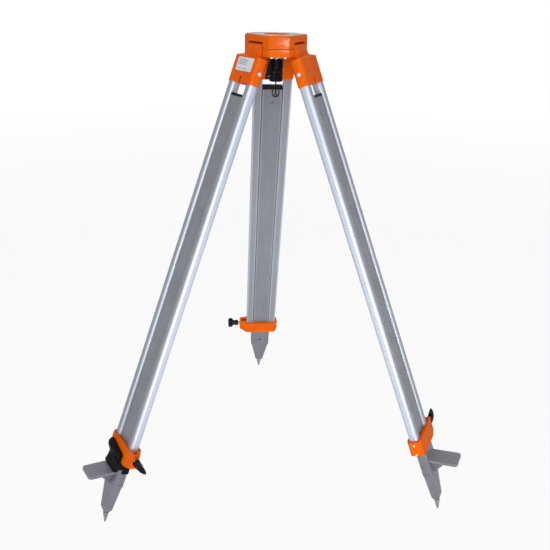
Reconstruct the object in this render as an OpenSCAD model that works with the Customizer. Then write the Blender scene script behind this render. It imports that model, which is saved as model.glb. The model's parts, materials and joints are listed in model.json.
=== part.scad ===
/* [Head] */
// Distance from the centre to the flat face of a lobe
lobe_apothem = 60.5; // [58:0.5:64]
// Width of the flat face of a lobe
lobe_face_w = 39; // [34:0.5:44]
// Width of a lobe at its shoulders
lobe_w = 60; // [58:0.5:64]
// Distance from the centre to the side of the plate above a leg
leg_side_apothem = 50.5; // [49:0.25:53]
// Radius of the round opening in the head plate
hole_r = 25; // [22:0.5:28]
// Depth from the top face to the underside over a hinge
plate_t = 13; // [12:0.5:14]
// Height of the sloped rim around the top face
rim_h = 3; // [1:0.5:5]
// Inward slope of the rim at the top face
rim_inset = 3.2; // [1:0.2:5]
// Width of the chamfer on the edge of the opening
hole_chamfer = 1.3; // [0.5:0.1:2.5]
// Wall between the hollow under the plate and the knuckles
hollow_wall = 3.7; // [3:0.1:6]
// Plate thickness left over the hollow
hollow_ceiling = 9; // [6:0.5:11]

/* [Hinge] */
// Distance of a hinge pin from the side of the plate
pin_cover = 6.5; // [5.5:0.25:8]
// Radius of a hinge pin
pin_r = 4; // [3:0.25:4.5]
// How far a hinge pin reaches into each lobe
pin_bite = 7.7; // [6:0.1:8.5]
// Radius of the knuckle barrel
knuckle_r = 8.5; // [7.5:0.25:9]
// Gap between the plate and the knuckle barrel
knuckle_gap = 2.5; // [2:0.25:4]
// Width of the knuckle barrel
knuckle_w = 50.6; // [46:0.2:51]
// Free space at each end of a knuckle
knuckle_side_gap = 1; // [0.5:0.1:1.4]
// Radial play of a pin in its knuckle
pin_play = 0.08; // [0.04:0.01:0.1]

/* [Bearing caps] */
// Height of a lobe below the pins
cap_h = 14.8; // [13:0.2:16]
// Seam between a bearing cap and the head
cap_gap = 0.8; // [0.3:0.1:0.9]
// Space between the swing arm and the bearing caps
cap_setback = 1.7; // [1:0.1:3]
// Radius of a cap screw shank
cap_screw_r = 3; // [2:0.25:3.25]
// Radius of a cap screw head
cap_head_r = 5; // [4:0.25:5.5]
// Height of a cap screw head
cap_head_h = 2.8; // [2:0.1:3]
// Distance of a cap screw from the flat face of its lobe
cap_screw_inset = 11.5; // [10:0.5:13]
// Half spacing of the two screws of a cap
cap_screw_off = 13; // [12:0.25:14]
// How far a cap screw reaches into the head plate
cap_screw_reach = 12; // [8:0.5:13]

/* [Legs] */
// Splay of a leg from the vertical
leg_tilt = 21.87; // [18:0.01:26]
// Outward offset of the tubes from the hinge pin
leg_offset = 5.85; // [5:0.05:7]
// Overall width over both tubes
leg_w = 83; // [80:0.5:84]
// Width of one leg tube
tube_w = 20; // [18:0.5:22]
// Depth of one leg tube
tube_d = 21.2; // [19:0.2:22]
// Corner radius of a leg tube
tube_corner = 8; // [5:0.5:9]
// Wall thickness of a leg tube
tube_wall = 1.6; // [1.2:0.1:2.5]
// Distance from the hinge pin to the top of the tubes
tube_top = 31.3; // [28:0.1:36]
// Length of a leg tube
tube_len = 858; // [820:1:880]

/* [Shoulder bracket] */
// Bracket wall beside the tubes
bracket_side = 2; // [1.5:0.1:4]
// Bracket wall in front of and behind the tubes
bracket_wall = 1.7; // [1.4:0.1:3]
// Gap between the bearing caps and the shoulders
shoulder_gap = 3.5; // [3:0.1:6]
// Drop of the shoulder slope
shoulder_drop = 5; // [3:0.5:8]
// Drop of the slope from the neck to the outer face
face_slope = 8; // [4:0.5:12]
// Depth of the tube sockets
socket_depth = 43; // [36:0.5:52]
// Clearance of a tube in its socket
socket_gap = 0.15; // [0.05:0.05:0.3]
// Height of the hollow between the sockets
web_hollow_h = 33; // [24:0.5:38]
// Wall between the hollow and the sockets
web_wall = 3.5; // [2:0.1:5]
// Width of the notch at the bottom edge
notch_w = 13; // [8:0.5:18]
// Height of the notch at the bottom edge
notch_h = 14; // [8:0.5:20]
// Size of the trimmed corners of the notch
notch_corner = 4; // [1:0.5:5]
// Distance of the tube screws below the top of the tubes
side_screw_drop = 19.5; // [14:0.5:26]
// Radius of a tube screw shank
side_screw_r = 2.5; // [2:0.1:3]
// Radius of a tube screw head
side_head_r = 4.2; // [3:0.2:6]
// Height of a tube screw head
side_head_h = 2.6; // [1.5:0.1:4]

/* [Leg clamp] */
// Height of the clamp body
clamp_h = 37; // [34:0.5:46]
// Clamp wall in front of and behind the tubes
clamp_wall = 4.4; // [3.4:0.1:6]
// Thickness of the clamp floor under the tubes
clamp_floor = 4.6; // [3:0.2:7]
// Reach of the clamp past the tubes on the plain side
clamp_side = 5.4; // [4:0.2:8]
// Rounding of the lower corner on the plain side
clamp_corner = 9; // [6:0.5:14]
// Reach of the screw lug past the tubes
lug_reach = 19.6; // [18:0.2:24]
// Wall thickness of the screw lug
lug_wall = 5.6; // [4:0.2:8]
// Side wall of the room for the thrust pad
lug_side = 1.7; // [1.4:0.1:3]
// Outward offset of the screw lug
lug_y = 4; // [0:0.5:5]
// Height of the chamfer under the screw lug
lug_chamfer = 5; // [2:0.5:8]
// Half spacing of the two rivets
rivet_off = 11; // [9:0.5:13]
// Radius of a rivet shank
rivet_r = 2; // [1.5:0.1:2.5]
// Radius of a rivet head
rivet_head_r = 4; // [3:0.2:5]
// Height of a rivet head
rivet_head_h = 3; // [1.5:0.1:4]

/* [Wing screw] */
// Radius of the screw shank
wing_stud_r = 4; // [3:0.25:5]
// Radial play of the shank in the lug
wing_play = 0.3; // [0.2:0.05:0.5]
// Distance of the screw below the top of the clamp body
wing_drop = 14; // [12:0.5:18]
// Gap between the lug face and the grip
wing_gap = 5; // [3.5:0.25:8]
// Length of the grip hub
hub_len = 15.5; // [10:0.5:20]
// Radius of the grip hub
hub_r = 8.3; // [7:0.1:12]
// Span of the wings
wing_span = 40; // [30:1:46]
// Width of the wings along the screw
wing_w = 14; // [10:0.5:18]
// Thickness of the wings at their middle
wing_t = 12; // [8:0.5:14]
// Thickness of the wings at their tips
wing_tip_t = 4; // [2:0.5:6]
// Depth of the shank in the grip
grip_socket = 8; // [6:0.5:12]
// Radius of the thrust pad
pad_r = 5.2; // [5:0.1:6.5]
// Thickness of the thrust pad
pad_t = 3.6; // [2.5:0.1:5]
// Free space around the thrust pad
pad_gap = 0.6; // [0.4:0.1:1]

/* [Sliding leg] */
// Gap between the inner profile and each tube
profile_side_gap = 0.4; // [0.3:0.05:0.9]
// Thickness of the inner profile between its edges
profile_web_d = 12.6; // [11:0.2:13.4]
// Rise of the raised edges over the web
lip_rise = 1; // [0.5:0.1:1.6]
// Width of the raised edges
profile_lip_w = 3.4; // [2:0.2:5]
// Wall thickness of the inner profile
profile_wall = 1.8; // [1.2:0.1:2.5]
// Distance from the bracket to the top of the profile
profile_drop = 26; // [20:0.5:40]
// Length of the profile inside the foot
profile_in_foot = 40; // [30:0.5:44]
// Height of the profile end cap
end_cap_h = 5; // [3:0.5:8]
// Depth of the plug of the end cap
end_plug_h = 12; // [8:0.5:20]
// Distance of the stop bolt below the profile top
stop_bolt_at = 33.5; // [28:0.5:44]
// Radius of the stop bolt shank
stop_bolt_r = 2.5; // [2:0.1:3]
// Radius of the stop bolt head
stop_head_r = 4.6; // [3.5:0.1:6]
// Height of the stop bolt head
stop_head_h = 2.6; // [1.5:0.1:4]
// Clearance of the profile in the clamp
profile_gap = 0.5; // [0.4:0.05:0.8]

/* [Foot] */
// Foot wall beside the profile
foot_side_wall = 4.9; // [4:0.1:7]
// Foot wall on the outer side of the profile
foot_out_wall = 4.7; // [3.5:0.1:6]
// Foot wall on the inner side of the profile
foot_in_wall = 2.3; // [1.8:0.1:3]
// Height of the straight part of the foot
foot_straight = 67; // [64:0.5:78]
// Height of the tapered part of the foot
foot_taper = 62; // [50:0.5:66]
// Height of the shoulder above the point
foot_shoulder = 7; // [5:0.5:9]
// Width of the foot at the end of its taper
foot_end_w = 22; // [18:0.5:26]
// Depth of the grooves in the sides of the foot
groove_t = 1.6; // [0.8:0.1:2]
// Width of the grooves in the sides of the foot
groove_w = 9; // [6:0.5:12]
// Reach of the tread from the leg centre
tread_reach = 75; // [60:0.5:80]
// Width of the tread
tread_w = 46; // [36:0.5:50]
// Thickness of the tread
tread_t = 6; // [4:0.25:8]
// Corner radius of the tread
tread_corner = 7; // [3:0.5:10]
// Distance of the tread below the top of the foot
tread_drop = 22; // [18:0.5:28]
// Slope of the tread
tread_slope = 13; // [6:0.5:18]
// Thickness of the web under the tread
tread_web_t = 7; // [4:0.5:10]
// Length of the steel point
point_len = 30; // [26:0.5:36]
// Radius of the steel point at its base
point_r = 6.4; // [5:0.2:6.6]
// Radius of the rounded end of the point
point_end_r = 1.6; // [1:0.1:2.5]
// Radius of the shank of the point in the foot
point_shank_r = 4; // [3:0.25:4.5]
// Inward lean of the point
point_lean = 11.5; // [6:0.5:14]
// Radius of the keyhole in the inner face of the foot
keyhole_r = 3.2; // [2:0.2:4]
// Height of the keyhole
keyhole_h = 22; // [10:0.5:26]

/* [Fixing screw] */
// Radius of the fixing screw thread
stud_r = 7.94; // [7.94:0.01:7.95]
// Radius of the plain shank under the thread
shank_r = 7; // [6:0.25:7.5]
// Depth of the stud end below the top face
stud_top = 4; // [3.5:0.25:6]
// Lift of the screw from its resting place
stud_lift = 10; // [8:0.5:10]
// Radius of the washer on the knob
washer_r = 11; // [9:0.5:12]
// Thickness of the washer on the knob
washer_t = 1.6; // [1:0.1:2]
// Radius of the upper part of the knob
collar_r = 14; // [12:0.5:15]
// Radius of the lower part of the knob
knob_r = 13.4; // [11:0.2:15]
// Height of the upper part of the knob
collar_h = 20; // [14:0.5:24]
// Height of the lower part of the knob
knob_h = 23.4; // [18:0.2:28]
// Radius of the flutes in the knob
flute_r = 1.8; // [1:0.1:2.4]
// Depth of the shank in the knob
knob_socket = 14; // [10:0.5:18]
// Reach of the turning paddle from the axis
paddle_reach = 23; // [18:0.5:28]
// Thickness of the turning paddle
paddle_t = 7; // [5:0.25:9]
// Radial play of the stud in its bush and ring
stud_play = 0.06; // [0.03:0.01:0.1]

/* [Swing arm] */
// Gap between the pins' plane and the arm
arm_drop = 5; // [4.6:0.1:5.4]
// Thickness of the arm
arm_t = 4; // [3:0.1:4.2]
// Width of the slot in the arm
slot_w = 21; // [20.4:0.1:22]
// Width of the arm beside the slot
arm_side = 5.5; // [5:0.25:6]
// Radius of the arm round its pivot
arm_end_r = 8.5; // [7:0.25:9]
// Distance of the arm pivot from the flat face of its lobe
pivot_inset = 14.5; // [13:0.25:16]
// Radius of the arm pivot shank
pivot_r = 4; // [3:0.25:5]
// Swing of the arm to each side
arm_swing = 12; // [6:1:14]
// Space round the swinging arm in its bearing cap
arm_room = 0.8; // [0.6:0.1:1]
// Travel of the bush to each side of its middle
bush_travel = 9; // [6:0.5:9.5]
// Radial gap between the bush and the slot
bush_gap = 0.2; // [0.1:0.05:0.4]
// Height of the bush flange over the arm
bush_flange_h = 2.1; // [1.5:0.1:3]
// Reach of the bush below the arm
bush_foot = 1.4; // [1:0.1:2]
// Radius of the retaining ring
ring_r = 12; // [10:0.25:12]
// Thickness of the retaining ring
ring_t = 2; // [1.5:0.1:3]

/* [Plumb hook] */
// Radius of the wire of the hook
hook_wire_r = 1.1; // [1:0.1:1.6]
// Radius of the stem of the hook
hook_stem_r = 1.3; // [1.2:0.1:2]
// Distance from the stem to the middle of each prong
hook_half = 6.6; // [6:0.1:9]
// Length of the stem down to the eye
hook_stem = 25; // [20:0.5:34]
// Height of the straight prongs
hook_side = 10; // [6:0.5:14]
// Radius of the eye between the prongs
hook_eye_r = 2.6; // [2.2:0.1:3.2]
// Depth of the stem in the knob
hook_socket = 7; // [5:0.5:12]

/* [Label and strap] */
// Width of the blank label
label_w = 54; // [40:0.5:60]
// Height of the blank label
label_h = 26; // [18:0.5:30]
// Thickness of the blank label
label_t = 0.5; // [0.4:0.05:0.8]
// Wall thickness of the strap collar
strap_t = 3; // [2:0.25:4]
// Reach of the strap collar below the tread's root
strap_skirt = 7; // [3:0.5:10]
// Space between the strap and the tread
strap_tread_gap = 4; // [2:0.5:6]
// Rise of the strap flap over the clamp
strap_flap_h = 30; // [18:0.5:32]
// How far the rolled top of the flap stands out from the clamp
strap_roll = 13; // [8:0.5:15]

/* [View] */
// Sub-part to draw

/* [Hidden] */
$fn = 64;
eps = 0.01;
seat = 0.3;
press_gap = 0.02;
leg_count = 3;
pin_ring = leg_side_apothem - pin_cover;
pin_depth = plate_t + knuckle_gap + knuckle_r;
pocket_w = knuckle_w + 2 * knuckle_side_gap;
pocket_y = pin_ring - knuckle_r - 0.8;
pin_len = pocket_w + 2 * pin_bite;
hollow_r = pocket_y - hollow_wall;
lobe_h = pin_depth + cap_h;
cap_screw_ring = lobe_apothem - cap_screw_inset;
tube_x = (leg_w - tube_w) / 2;
tube_bottom = tube_top + tube_len;
bracket_w = leg_w + 2 * bracket_side;
bracket_d = tube_d + 2 * bracket_wall;
bracket_corner = tube_corner + bracket_side;
bracket_bottom = tube_top + socket_depth;
neck_in = -leg_offset - knuckle_r;
neck_out = -leg_offset + knuckle_r;
shoulder_top = cap_h + shoulder_gap;
side_screw_at = tube_top + side_screw_drop;
clamp_d = tube_d + 2 * clamp_wall;
clamp_bottom = tube_bottom + clamp_floor;
clamp_top = clamp_bottom - clamp_h;
clamp_x = leg_w / 2 + clamp_side;
lug_x = leg_w / 2 + lug_reach;
lug_d = 2 * (pad_r + pad_gap + lug_side);
rivet_mid = (clamp_top + clamp_bottom) / 2;
pad_x = leg_w / 2 + seat;
nose_r = wing_stud_r - 1;
wing_z = clamp_top + wing_drop;
wing_rest = [0, 52, 13];
profile_w = leg_w - 2 * tube_w - 2 * profile_side_gap;
profile_lip_d = profile_web_d + 2 * lip_rise;
profile_top = bracket_bottom + profile_drop;
foot_top = clamp_bottom + seat;
foot_mid = foot_top + foot_straight;
foot_low = foot_mid + foot_taper;
foot_bottom = foot_low + foot_shoulder;
foot_w = profile_w + 2 * foot_side_wall;
foot_out = profile_lip_d / 2 + foot_out_wall;
foot_in = profile_lip_d / 2 + foot_in_wall;
profile_len = foot_top + profile_in_foot - profile_top;
point_y = -4.4;
arm_top = pin_depth + arm_drop;
arm_w = slot_w + 2 * arm_side;
arm_dir = 270;
arm_flare = 20;
pivot_ring = lobe_apothem - pivot_inset;
bush_r = slot_w / 2 - bush_gap;
arm_reach = pivot_ring + bush_travel + bush_r + 1;
arm_far = norm([arm_w / 2, arm_reach]);
arm_far_a = atan2(arm_w / 2, arm_reach) + arm_swing;
cap_inner_r = norm([arm_far * sin(arm_far_a), arm_far * cos(arm_far_a) - pivot_ring]) + cap_setback;
bush_top = arm_top - seat - bush_flange_h;
bush_bottom = arm_top + arm_t + bush_foot;
thread_end = bush_top - ring_t - 2 * seat;
knob_top = bush_bottom + stud_lift + washer_t + 2 * seat;
knob_low = knob_top + collar_h + knob_h;
legs = [1 : leg_count];

function each_leg(base) = [for (i = legs) str(base, "_", i)];

orange = [0.93, 0.36, 0.08];
black = [0.05, 0.05, 0.055];
steel = [0.72, 0.73, 0.75];
alloy = [0.80, 0.82, 0.86];
cast_grey = [0.50, 0.51, 0.54];
brass = [0.78, 0.60, 0.28];

// Frame of one leg: origin beside its pin in the tube plane, Z up along the leg, Y outward
module leg_frame(i) {
    rotate([0, 0, 120 * (i - 1)])
        translate([0, pin_ring, -pin_depth])
            rotate([leg_tilt, 0, 0])
                translate([0, leg_offset, 0]) children();
}

// Frame of one lobe: X points out through the lobe between two legs
module lobe_frame(i) {
    rotate([0, 0, 120 * (i - 1) + 30]) children();
}

// Rounded rectangle made of straight sides and true arcs
module rounded(w, d, r) {
    square([w - 2 * r, d], center = true);
    square([w, d - 2 * r], center = true);
    for (x = [-1, 1], y = [-1, 1])
        translate([x * (w / 2 - r), y * (d / 2 - r)]) circle(r);
}

// Plate outline: for each lobe a flat face and two sloped sides that meet the sides over the legs
module head_outline() {
    corner_x = (leg_side_apothem - lobe_w / 2 * sin(60)) / cos(60);
    side = [[corner_x, -lobe_w / 2], [lobe_apothem, -lobe_face_w / 2],
        [lobe_apothem, lobe_face_w / 2], [corner_x, lobe_w / 2]];
    polygon([for (k = [0 : 2], p = side)
        let (a = 30 + 120 * k)
        [p.x * cos(a) - p.y * sin(a), p.x * sin(a) + p.y * cos(a)]]);
}

// Room for the three knuckles, seen from above
module knuckle_rooms(inner, w) {
    for (k = [0 : 2]) rotate([0, 0, 120 * k])
        translate([-w / 2, inner]) square([w, 60]);
}

// Grooves for the hinge pins, half in the head and half in the caps
module pin_grooves() {
    for (k = [0 : 2]) rotate([0, 0, 120 * k])
        translate([0, pin_ring, -pin_depth]) rotate([0, 90, 0])
            cylinder(r = pin_r + press_gap, h = pin_len + seat, center = true);
}

module head_casting() {
    color(orange) difference() {
        union() {
            translate([0, 0, -rim_h])
                linear_extrude(rim_h, scale = 1 - rim_inset / lobe_apothem) head_outline();
            translate([0, 0, -plate_t]) linear_extrude(plate_t - rim_h) head_outline();
            translate([0, 0, -pin_depth]) linear_extrude(pin_depth - plate_t + eps)
                difference() {
                    head_outline();
                    knuckle_rooms(pocket_y, pocket_w);
                }
        }
        translate([0, 0, -plate_t - 40]) cylinder(r = hole_r, h = plate_t + 41);
        translate([0, 0, -60]) cylinder(r = hollow_r, h = 60 - hollow_ceiling);
        translate([0, 0, -hole_chamfer + 0.1])
            cylinder(r1 = hole_r, r2 = hole_r + hole_chamfer, h = hole_chamfer);
        pin_grooves();
        for (k = [1 : 3]) lobe_frame(k) for (s = [-1, 1])
            translate([cap_screw_ring, s * cap_screw_off, -pin_depth - eps])
                cylinder(r = cap_screw_r + press_gap, h = cap_screw_reach + 0.5);
    }
}

// Plan of one bearing cap, in its lobe frame
module cap_plan() {
    intersection() {
        difference() {
            rotate([0, 0, -30]) head_outline();
            rotate([0, 0, -30]) knuckle_rooms(0, pocket_w);
            circle(cap_inner_r);
        }
        polygon([[0, 0], [80, -60], [80, 60]]);
    }
}

module bearing_cap(i) {
    color(orange) difference() {
        lobe_frame(i) difference() {
            translate([0, 0, -lobe_h]) linear_extrude(lobe_h - pin_depth - cap_gap) cap_plan();
            for (s = [-1, 1]) translate([cap_screw_ring, s * cap_screw_off, -lobe_h - 1])
                cylinder(r = cap_screw_r + 0.25, h = lobe_h);
            if (i == 3) {
                translate([pivot_ring, 0, -lobe_h - 1]) arm_sweep();
                translate([pivot_ring, 0, -lobe_h - 1]) cylinder(r = pivot_r + press_gap, h = lobe_h);
            }
        }
        pin_grooves();
    }
}

// Outline of the arm about its pivot, grown by a given space
module arm_outline(grow = 0) {
    half = arm_w / 2 + grow;
    near = arm_end_r + grow;
    circle(near);
    polygon([[0, -near], [-arm_flare, -half], [-arm_reach, -half], [-arm_reach - 5, -half + 5],
        [-arm_reach - 5, half - 5], [-arm_reach, half], [-arm_flare, half], [0, near]]);
}

// Room cut in a cap for the arm to swing in
module arm_sweep() {
    linear_extrude(lobe_h + 1 - arm_top + 0.4)
        for (a = [-arm_swing : arm_swing / 2 : arm_swing]) rotate(a) arm_outline(arm_room);
}

module cap_screws(i) {
    color(steel) lobe_frame(i) for (s = [-1, 1])
        translate([cap_screw_ring, s * cap_screw_off, 0]) difference() {
            union() {
                translate([0, 0, -lobe_h]) cylinder(r = cap_screw_r,
                    h = lobe_h - pin_depth + cap_screw_reach);
                translate([0, 0, -lobe_h - cap_head_h]) cylinder(r = cap_head_r, h = cap_head_h);
            }
            translate([0, 0, -lobe_h - cap_head_h - eps]) cylinder(r = cap_head_r * 0.5, h = 2, $fn = 6);
        }
}

module hinge_pin(i) {
    color(steel) rotate([0, 0, 120 * (i - 1)]) translate([0, pin_ring, -pin_depth])
        rotate([0, 90, 0]) cylinder(r = pin_r, h = pin_len, center = true);
}

// Front shape of the bracket, X across the leg and Y up along it
module bracket_front() {
    slope_end = -shoulder_top - shoulder_drop;
    notch_top = -bracket_bottom + notch_h;
    half = [[knuckle_w / 2, 0], [knuckle_w / 2, -shoulder_top], [bracket_w / 2, slope_end],
        [bracket_w / 2, -bracket_bottom], [notch_w / 2, -bracket_bottom],
        [notch_w / 2, notch_top - notch_corner], [notch_w / 2 - notch_corner, notch_top]];
    polygon(concat(half, [for (k = [len(half) - 1 : -1 : 0]) [-half[k].x, half[k].y]]));
}

module shoulder_bracket(i) {
    web = leg_w - 2 * tube_w - 2 * web_wall;
    half = bracket_d / 2;
    color(orange) leg_frame(i) difference() {
        union() {
            intersection() {
                rotate([90, 0, 0]) linear_extrude(bracket_d + 2, center = true) bracket_front();
                rotate([90, 0, 90]) linear_extrude(bracket_w + 2, center = true)
                    polygon([[-half, -bracket_bottom], [half, -bracket_bottom],
                        [half, -shoulder_top + 3 - face_slope], [neck_out, -shoulder_top + 3],
                        [neck_out, 0], [-half, 0]]);
                translate([0, 0, -bracket_bottom - 1]) linear_extrude(bracket_bottom + 1)
                    rounded(bracket_w, bracket_d, bracket_corner);
            }
            translate([0, -leg_offset, 0]) rotate([0, 90, 0])
                cylinder(r = knuckle_r, h = knuckle_w, center = true);
            rotate([90, 0, 90]) linear_extrude(knuckle_w, center = true)
                polygon([[neck_in, 0], [neck_out, 0], [neck_out, -shoulder_top - 4],
                    [-half + 1, -shoulder_top - 9], [neck_in, -shoulder_top - 2]]);
        }
        translate([0, -leg_offset, 0]) rotate([0, 90, 0])
            cylinder(r = pin_r + pin_play, h = bracket_w, center = true);
        for (x = [-1, 1]) translate([x * tube_x, 0, -bracket_bottom - 1])
            linear_extrude(bracket_bottom + 1 - tube_top)
                rounded(tube_w + 2 * socket_gap, tube_d + 2 * socket_gap, tube_corner + socket_gap);
        translate([0, 0, -bracket_bottom - 1]) linear_extrude(web_hollow_h + 1)
            rounded(web, bracket_d - 2 * web_wall - 1, 3);
        translate([0, 0, -side_screw_at]) rotate([0, 90, 0])
            cylinder(r = side_screw_r + press_gap, h = bracket_w + 2, center = true);
    }
}

module leg_tube(i, side) {
    color(alloy) leg_frame(i) difference() {
        translate([side * tube_x, 0, -tube_bottom]) linear_extrude(tube_len) difference() {
            rounded(tube_w, tube_d, tube_corner);
            rounded(tube_w - 2 * tube_wall, tube_d - 2 * tube_wall, tube_corner - tube_wall);
        }
        translate([side * leg_w / 2, 0, -side_screw_at]) rotate([0, 90, 0])
            cylinder(r = side_screw_r + press_gap, h = 8, center = true);
    }
}

// Two domed screws that hold the tubes in the bracket
module tube_screws(i) {
    color(steel) leg_frame(i) for (s = [-1, 1]) translate([0, 0, -side_screw_at])
        rotate([0, 90 * s, 0]) {
            translate([0, 0, leg_w / 2 - 6]) cylinder(r = side_screw_r, h = bracket_side + 6);
            translate([0, 0, bracket_w / 2]) difference() {
                cylinder(r1 = side_head_r, r2 = side_head_r * 0.55, h = side_head_h);
                translate([0, 0, side_head_h - 1.2]) cylinder(r = 1.6, h = 2, $fn = 6);
            }
        }
}

// Plan of the clamp, with the screw lug on the low X side
module clamp_plan() {
    half = clamp_d / 2;
    polygon([[clamp_x, -half + 6], [clamp_x, half - 7], [clamp_x - 8, half],
        [-clamp_x + 8, half], [-lug_x, lug_y + lug_d / 2], [-lug_x, lug_y - lug_d / 2],
        [-clamp_x, -half + 4], [-clamp_x + 6, -half], [clamp_x - 7, -half]]);
}

// Front shape of the clamp: a chamfer under the lug and a round lower corner on the plain side
module clamp_front() {
    difference() {
        translate([-lug_x, -clamp_bottom]) square([lug_x + clamp_x, clamp_h]);
        polygon([[-lug_x - 1, -clamp_bottom - 1], [-leg_w / 2, -clamp_bottom - 1],
            [-leg_w / 2, -clamp_bottom], [-lug_x, -clamp_bottom + lug_chamfer],
            [-lug_x - 1, -clamp_bottom + lug_chamfer]]);
        translate([clamp_x - clamp_corner, -clamp_bottom + clamp_corner]) difference() {
            translate([0, -clamp_corner - 1]) square([clamp_corner + 1, clamp_corner + 1]);
            circle(clamp_corner);
        }
    }
}

module leg_clamp(i) {
    pad_room = pad_r + pad_gap;
    color(orange) leg_frame(i) difference() {
        intersection() {
            translate([0, 0, -clamp_bottom]) linear_extrude(clamp_h) clamp_plan();
            rotate([90, 0, 0]) linear_extrude(clamp_d + 2, center = true) clamp_front();
        }
        for (x = [-1, 1]) translate([x * tube_x, 0, -tube_bottom]) linear_extrude(clamp_h + 1)
            rounded(tube_w + 2 * socket_gap, tube_d + 2 * socket_gap, tube_corner + socket_gap);
        translate([0, 0, -clamp_bottom - 1]) linear_extrude(clamp_h + 2)
            square([profile_w + 2 * profile_gap, profile_lip_d + 2 * profile_gap], center = true);
        translate([-lug_x + lug_wall, lug_y - pad_room, -wing_z - pad_room])
            cube([lug_reach - lug_wall + 3, 2 * pad_room, wing_drop + pad_room + 1]);
        translate([-lug_x - 1, lug_y, -wing_z]) rotate([0, 90, 0])
            cylinder(r = wing_stud_r + wing_play, h = lug_wall + 2);
        for (s = [-1, 1]) translate([leg_w / 2 - 3, 0, -rivet_mid + s * rivet_off])
            rotate([0, 90, 0]) cylinder(r = rivet_r + press_gap, h = clamp_side + 4);
    }
}

module clamp_rivets(i) {
    color(brass) leg_frame(i) for (s = [-1, 1])
        translate([0, 0, -rivet_mid + s * rivet_off]) rotate([0, 90, 0]) {
            translate([0, 0, pad_x + seat]) cylinder(r = rivet_r, h = clamp_side - 2 * seat);
            translate([0, 0, clamp_x])
                cylinder(r1 = rivet_head_r, r2 = rivet_head_r * 0.6, h = rivet_head_h);
        }
}

module thrust_pad(i) {
    color(steel) leg_frame(i) translate([-pad_x, lug_y, -wing_z]) rotate([0, -90, 0])
        difference() {
            cylinder(r = pad_r, h = pad_t);
            translate([0, 0, pad_t - 2]) cylinder(r = nose_r + pin_play, h = 3);
        }
}

// Steel shank: a thin nose in the pad, then the full thread up to the grip
module wing_stud(i) {
    start = pad_t + seat;
    color(steel) leg_frame(i) translate([-pad_x, lug_y, -wing_z]) rotate([0, -90, 0]) {
        translate([0, 0, pad_t - 1.8]) cylinder(r = nose_r, h = 2.2);
        translate([0, 0, start])
            cylinder(r = wing_stud_r, h = lug_reach - seat + wing_gap + grip_socket - start);
    }
}

module wing_grip(i) {
    tip = wing_tip_t / 2;
    flat = wing_t / 2;
    color(black) leg_frame(i) translate([-lug_x - wing_gap, lug_y, -wing_z]) rotate([0, -90, 0])
        rotate([0, 0, wing_rest[i - 1]]) difference() {
            union() {
                cylinder(r1 = hub_r, r2 = hub_r * 0.94, h = hub_len);
                translate([0, 0, hub_len - 1]) linear_extrude(wing_w + 1)
                    polygon([[-wing_span / 2, -tip], [-flat, -flat], [flat, -flat],
                        [wing_span / 2, -tip], [wing_span / 2, tip], [flat, flat],
                        [-flat, flat], [-wing_span / 2, tip]]);
            }
            translate([0, 0, -1]) cylinder(r = wing_stud_r + press_gap, h = grip_socket + 1 + press_gap);
        }
}

// Section of the inner profile with raised edges
module profile_section() {
    difference() {
        union() {
            square([profile_w, profile_web_d], center = true);
            for (s = [-1, 1]) translate([s * (profile_w - profile_lip_w) / 2, 0])
                square([profile_lip_w, profile_lip_d], center = true);
        }
        square([profile_w - 2 * profile_lip_w, profile_web_d - 2 * profile_wall], center = true);
    }
}

module inner_profile(i) {
    web = profile_web_d / 2;
    color(alloy * 0.8) leg_frame(i) {
        difference() {
            translate([0, 0, -profile_top - profile_len]) linear_extrude(profile_len) profile_section();
            translate([0, 0, -profile_top - stop_bolt_at]) rotate([90, 0, 0])
                cylinder(r = stop_bolt_r, h = profile_web_d + 2, center = true);
        }
        translate([0, 0, -profile_top - stop_bolt_at]) rotate([90, 0, 0]) {
            cylinder(r = stop_bolt_r, h = profile_web_d, center = true);
            for (s = [-1, 1]) rotate([s > 0 ? 0 : 180, 0, 0]) translate([0, 0, web - eps])
                cylinder(r1 = stop_head_r, r2 = stop_head_r * 0.7, h = stop_head_h);
        }
    }
}

module end_cap(i) {
    plug_gap = 0.4;
    color(black) leg_frame(i) {
        translate([0, 0, -profile_top]) linear_extrude(end_cap_h)
            rounded(profile_w, profile_lip_d, 2);
        translate([0, 0, -profile_top - end_plug_h]) linear_extrude(end_plug_h + eps)
            square([profile_w - 2 * profile_lip_w - plug_gap,
                profile_web_d - 2 * profile_wall - plug_gap], center = true);
    }
}

// Front shape of the foot
module foot_front() {
    half = foot_w / 2;
    tip = point_r + seat;
    polygon([[-half, -foot_top], [half, -foot_top], [half, -foot_mid + 6], [half - 3, -foot_mid],
        [foot_end_w / 2, -foot_low], [tip, -foot_bottom], [-tip, -foot_bottom],
        [-foot_end_w / 2, -foot_low], [-half + 3, -foot_mid], [-half, -foot_mid + 6]]);
}

// Side shape of the foot, X outward
module foot_side() {
    tip = point_r + seat;
    polygon([[-foot_in, -foot_top], [foot_out, -foot_top], [foot_out, -foot_mid + 26],
        [foot_out - 2, -foot_mid - 4], [point_y + tip + 4, -foot_low], [point_y + tip, -foot_bottom],
        [point_y - tip, -foot_bottom], [point_y - tip - 1, -foot_low], [-foot_in, -foot_mid - 6]]);
}

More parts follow.
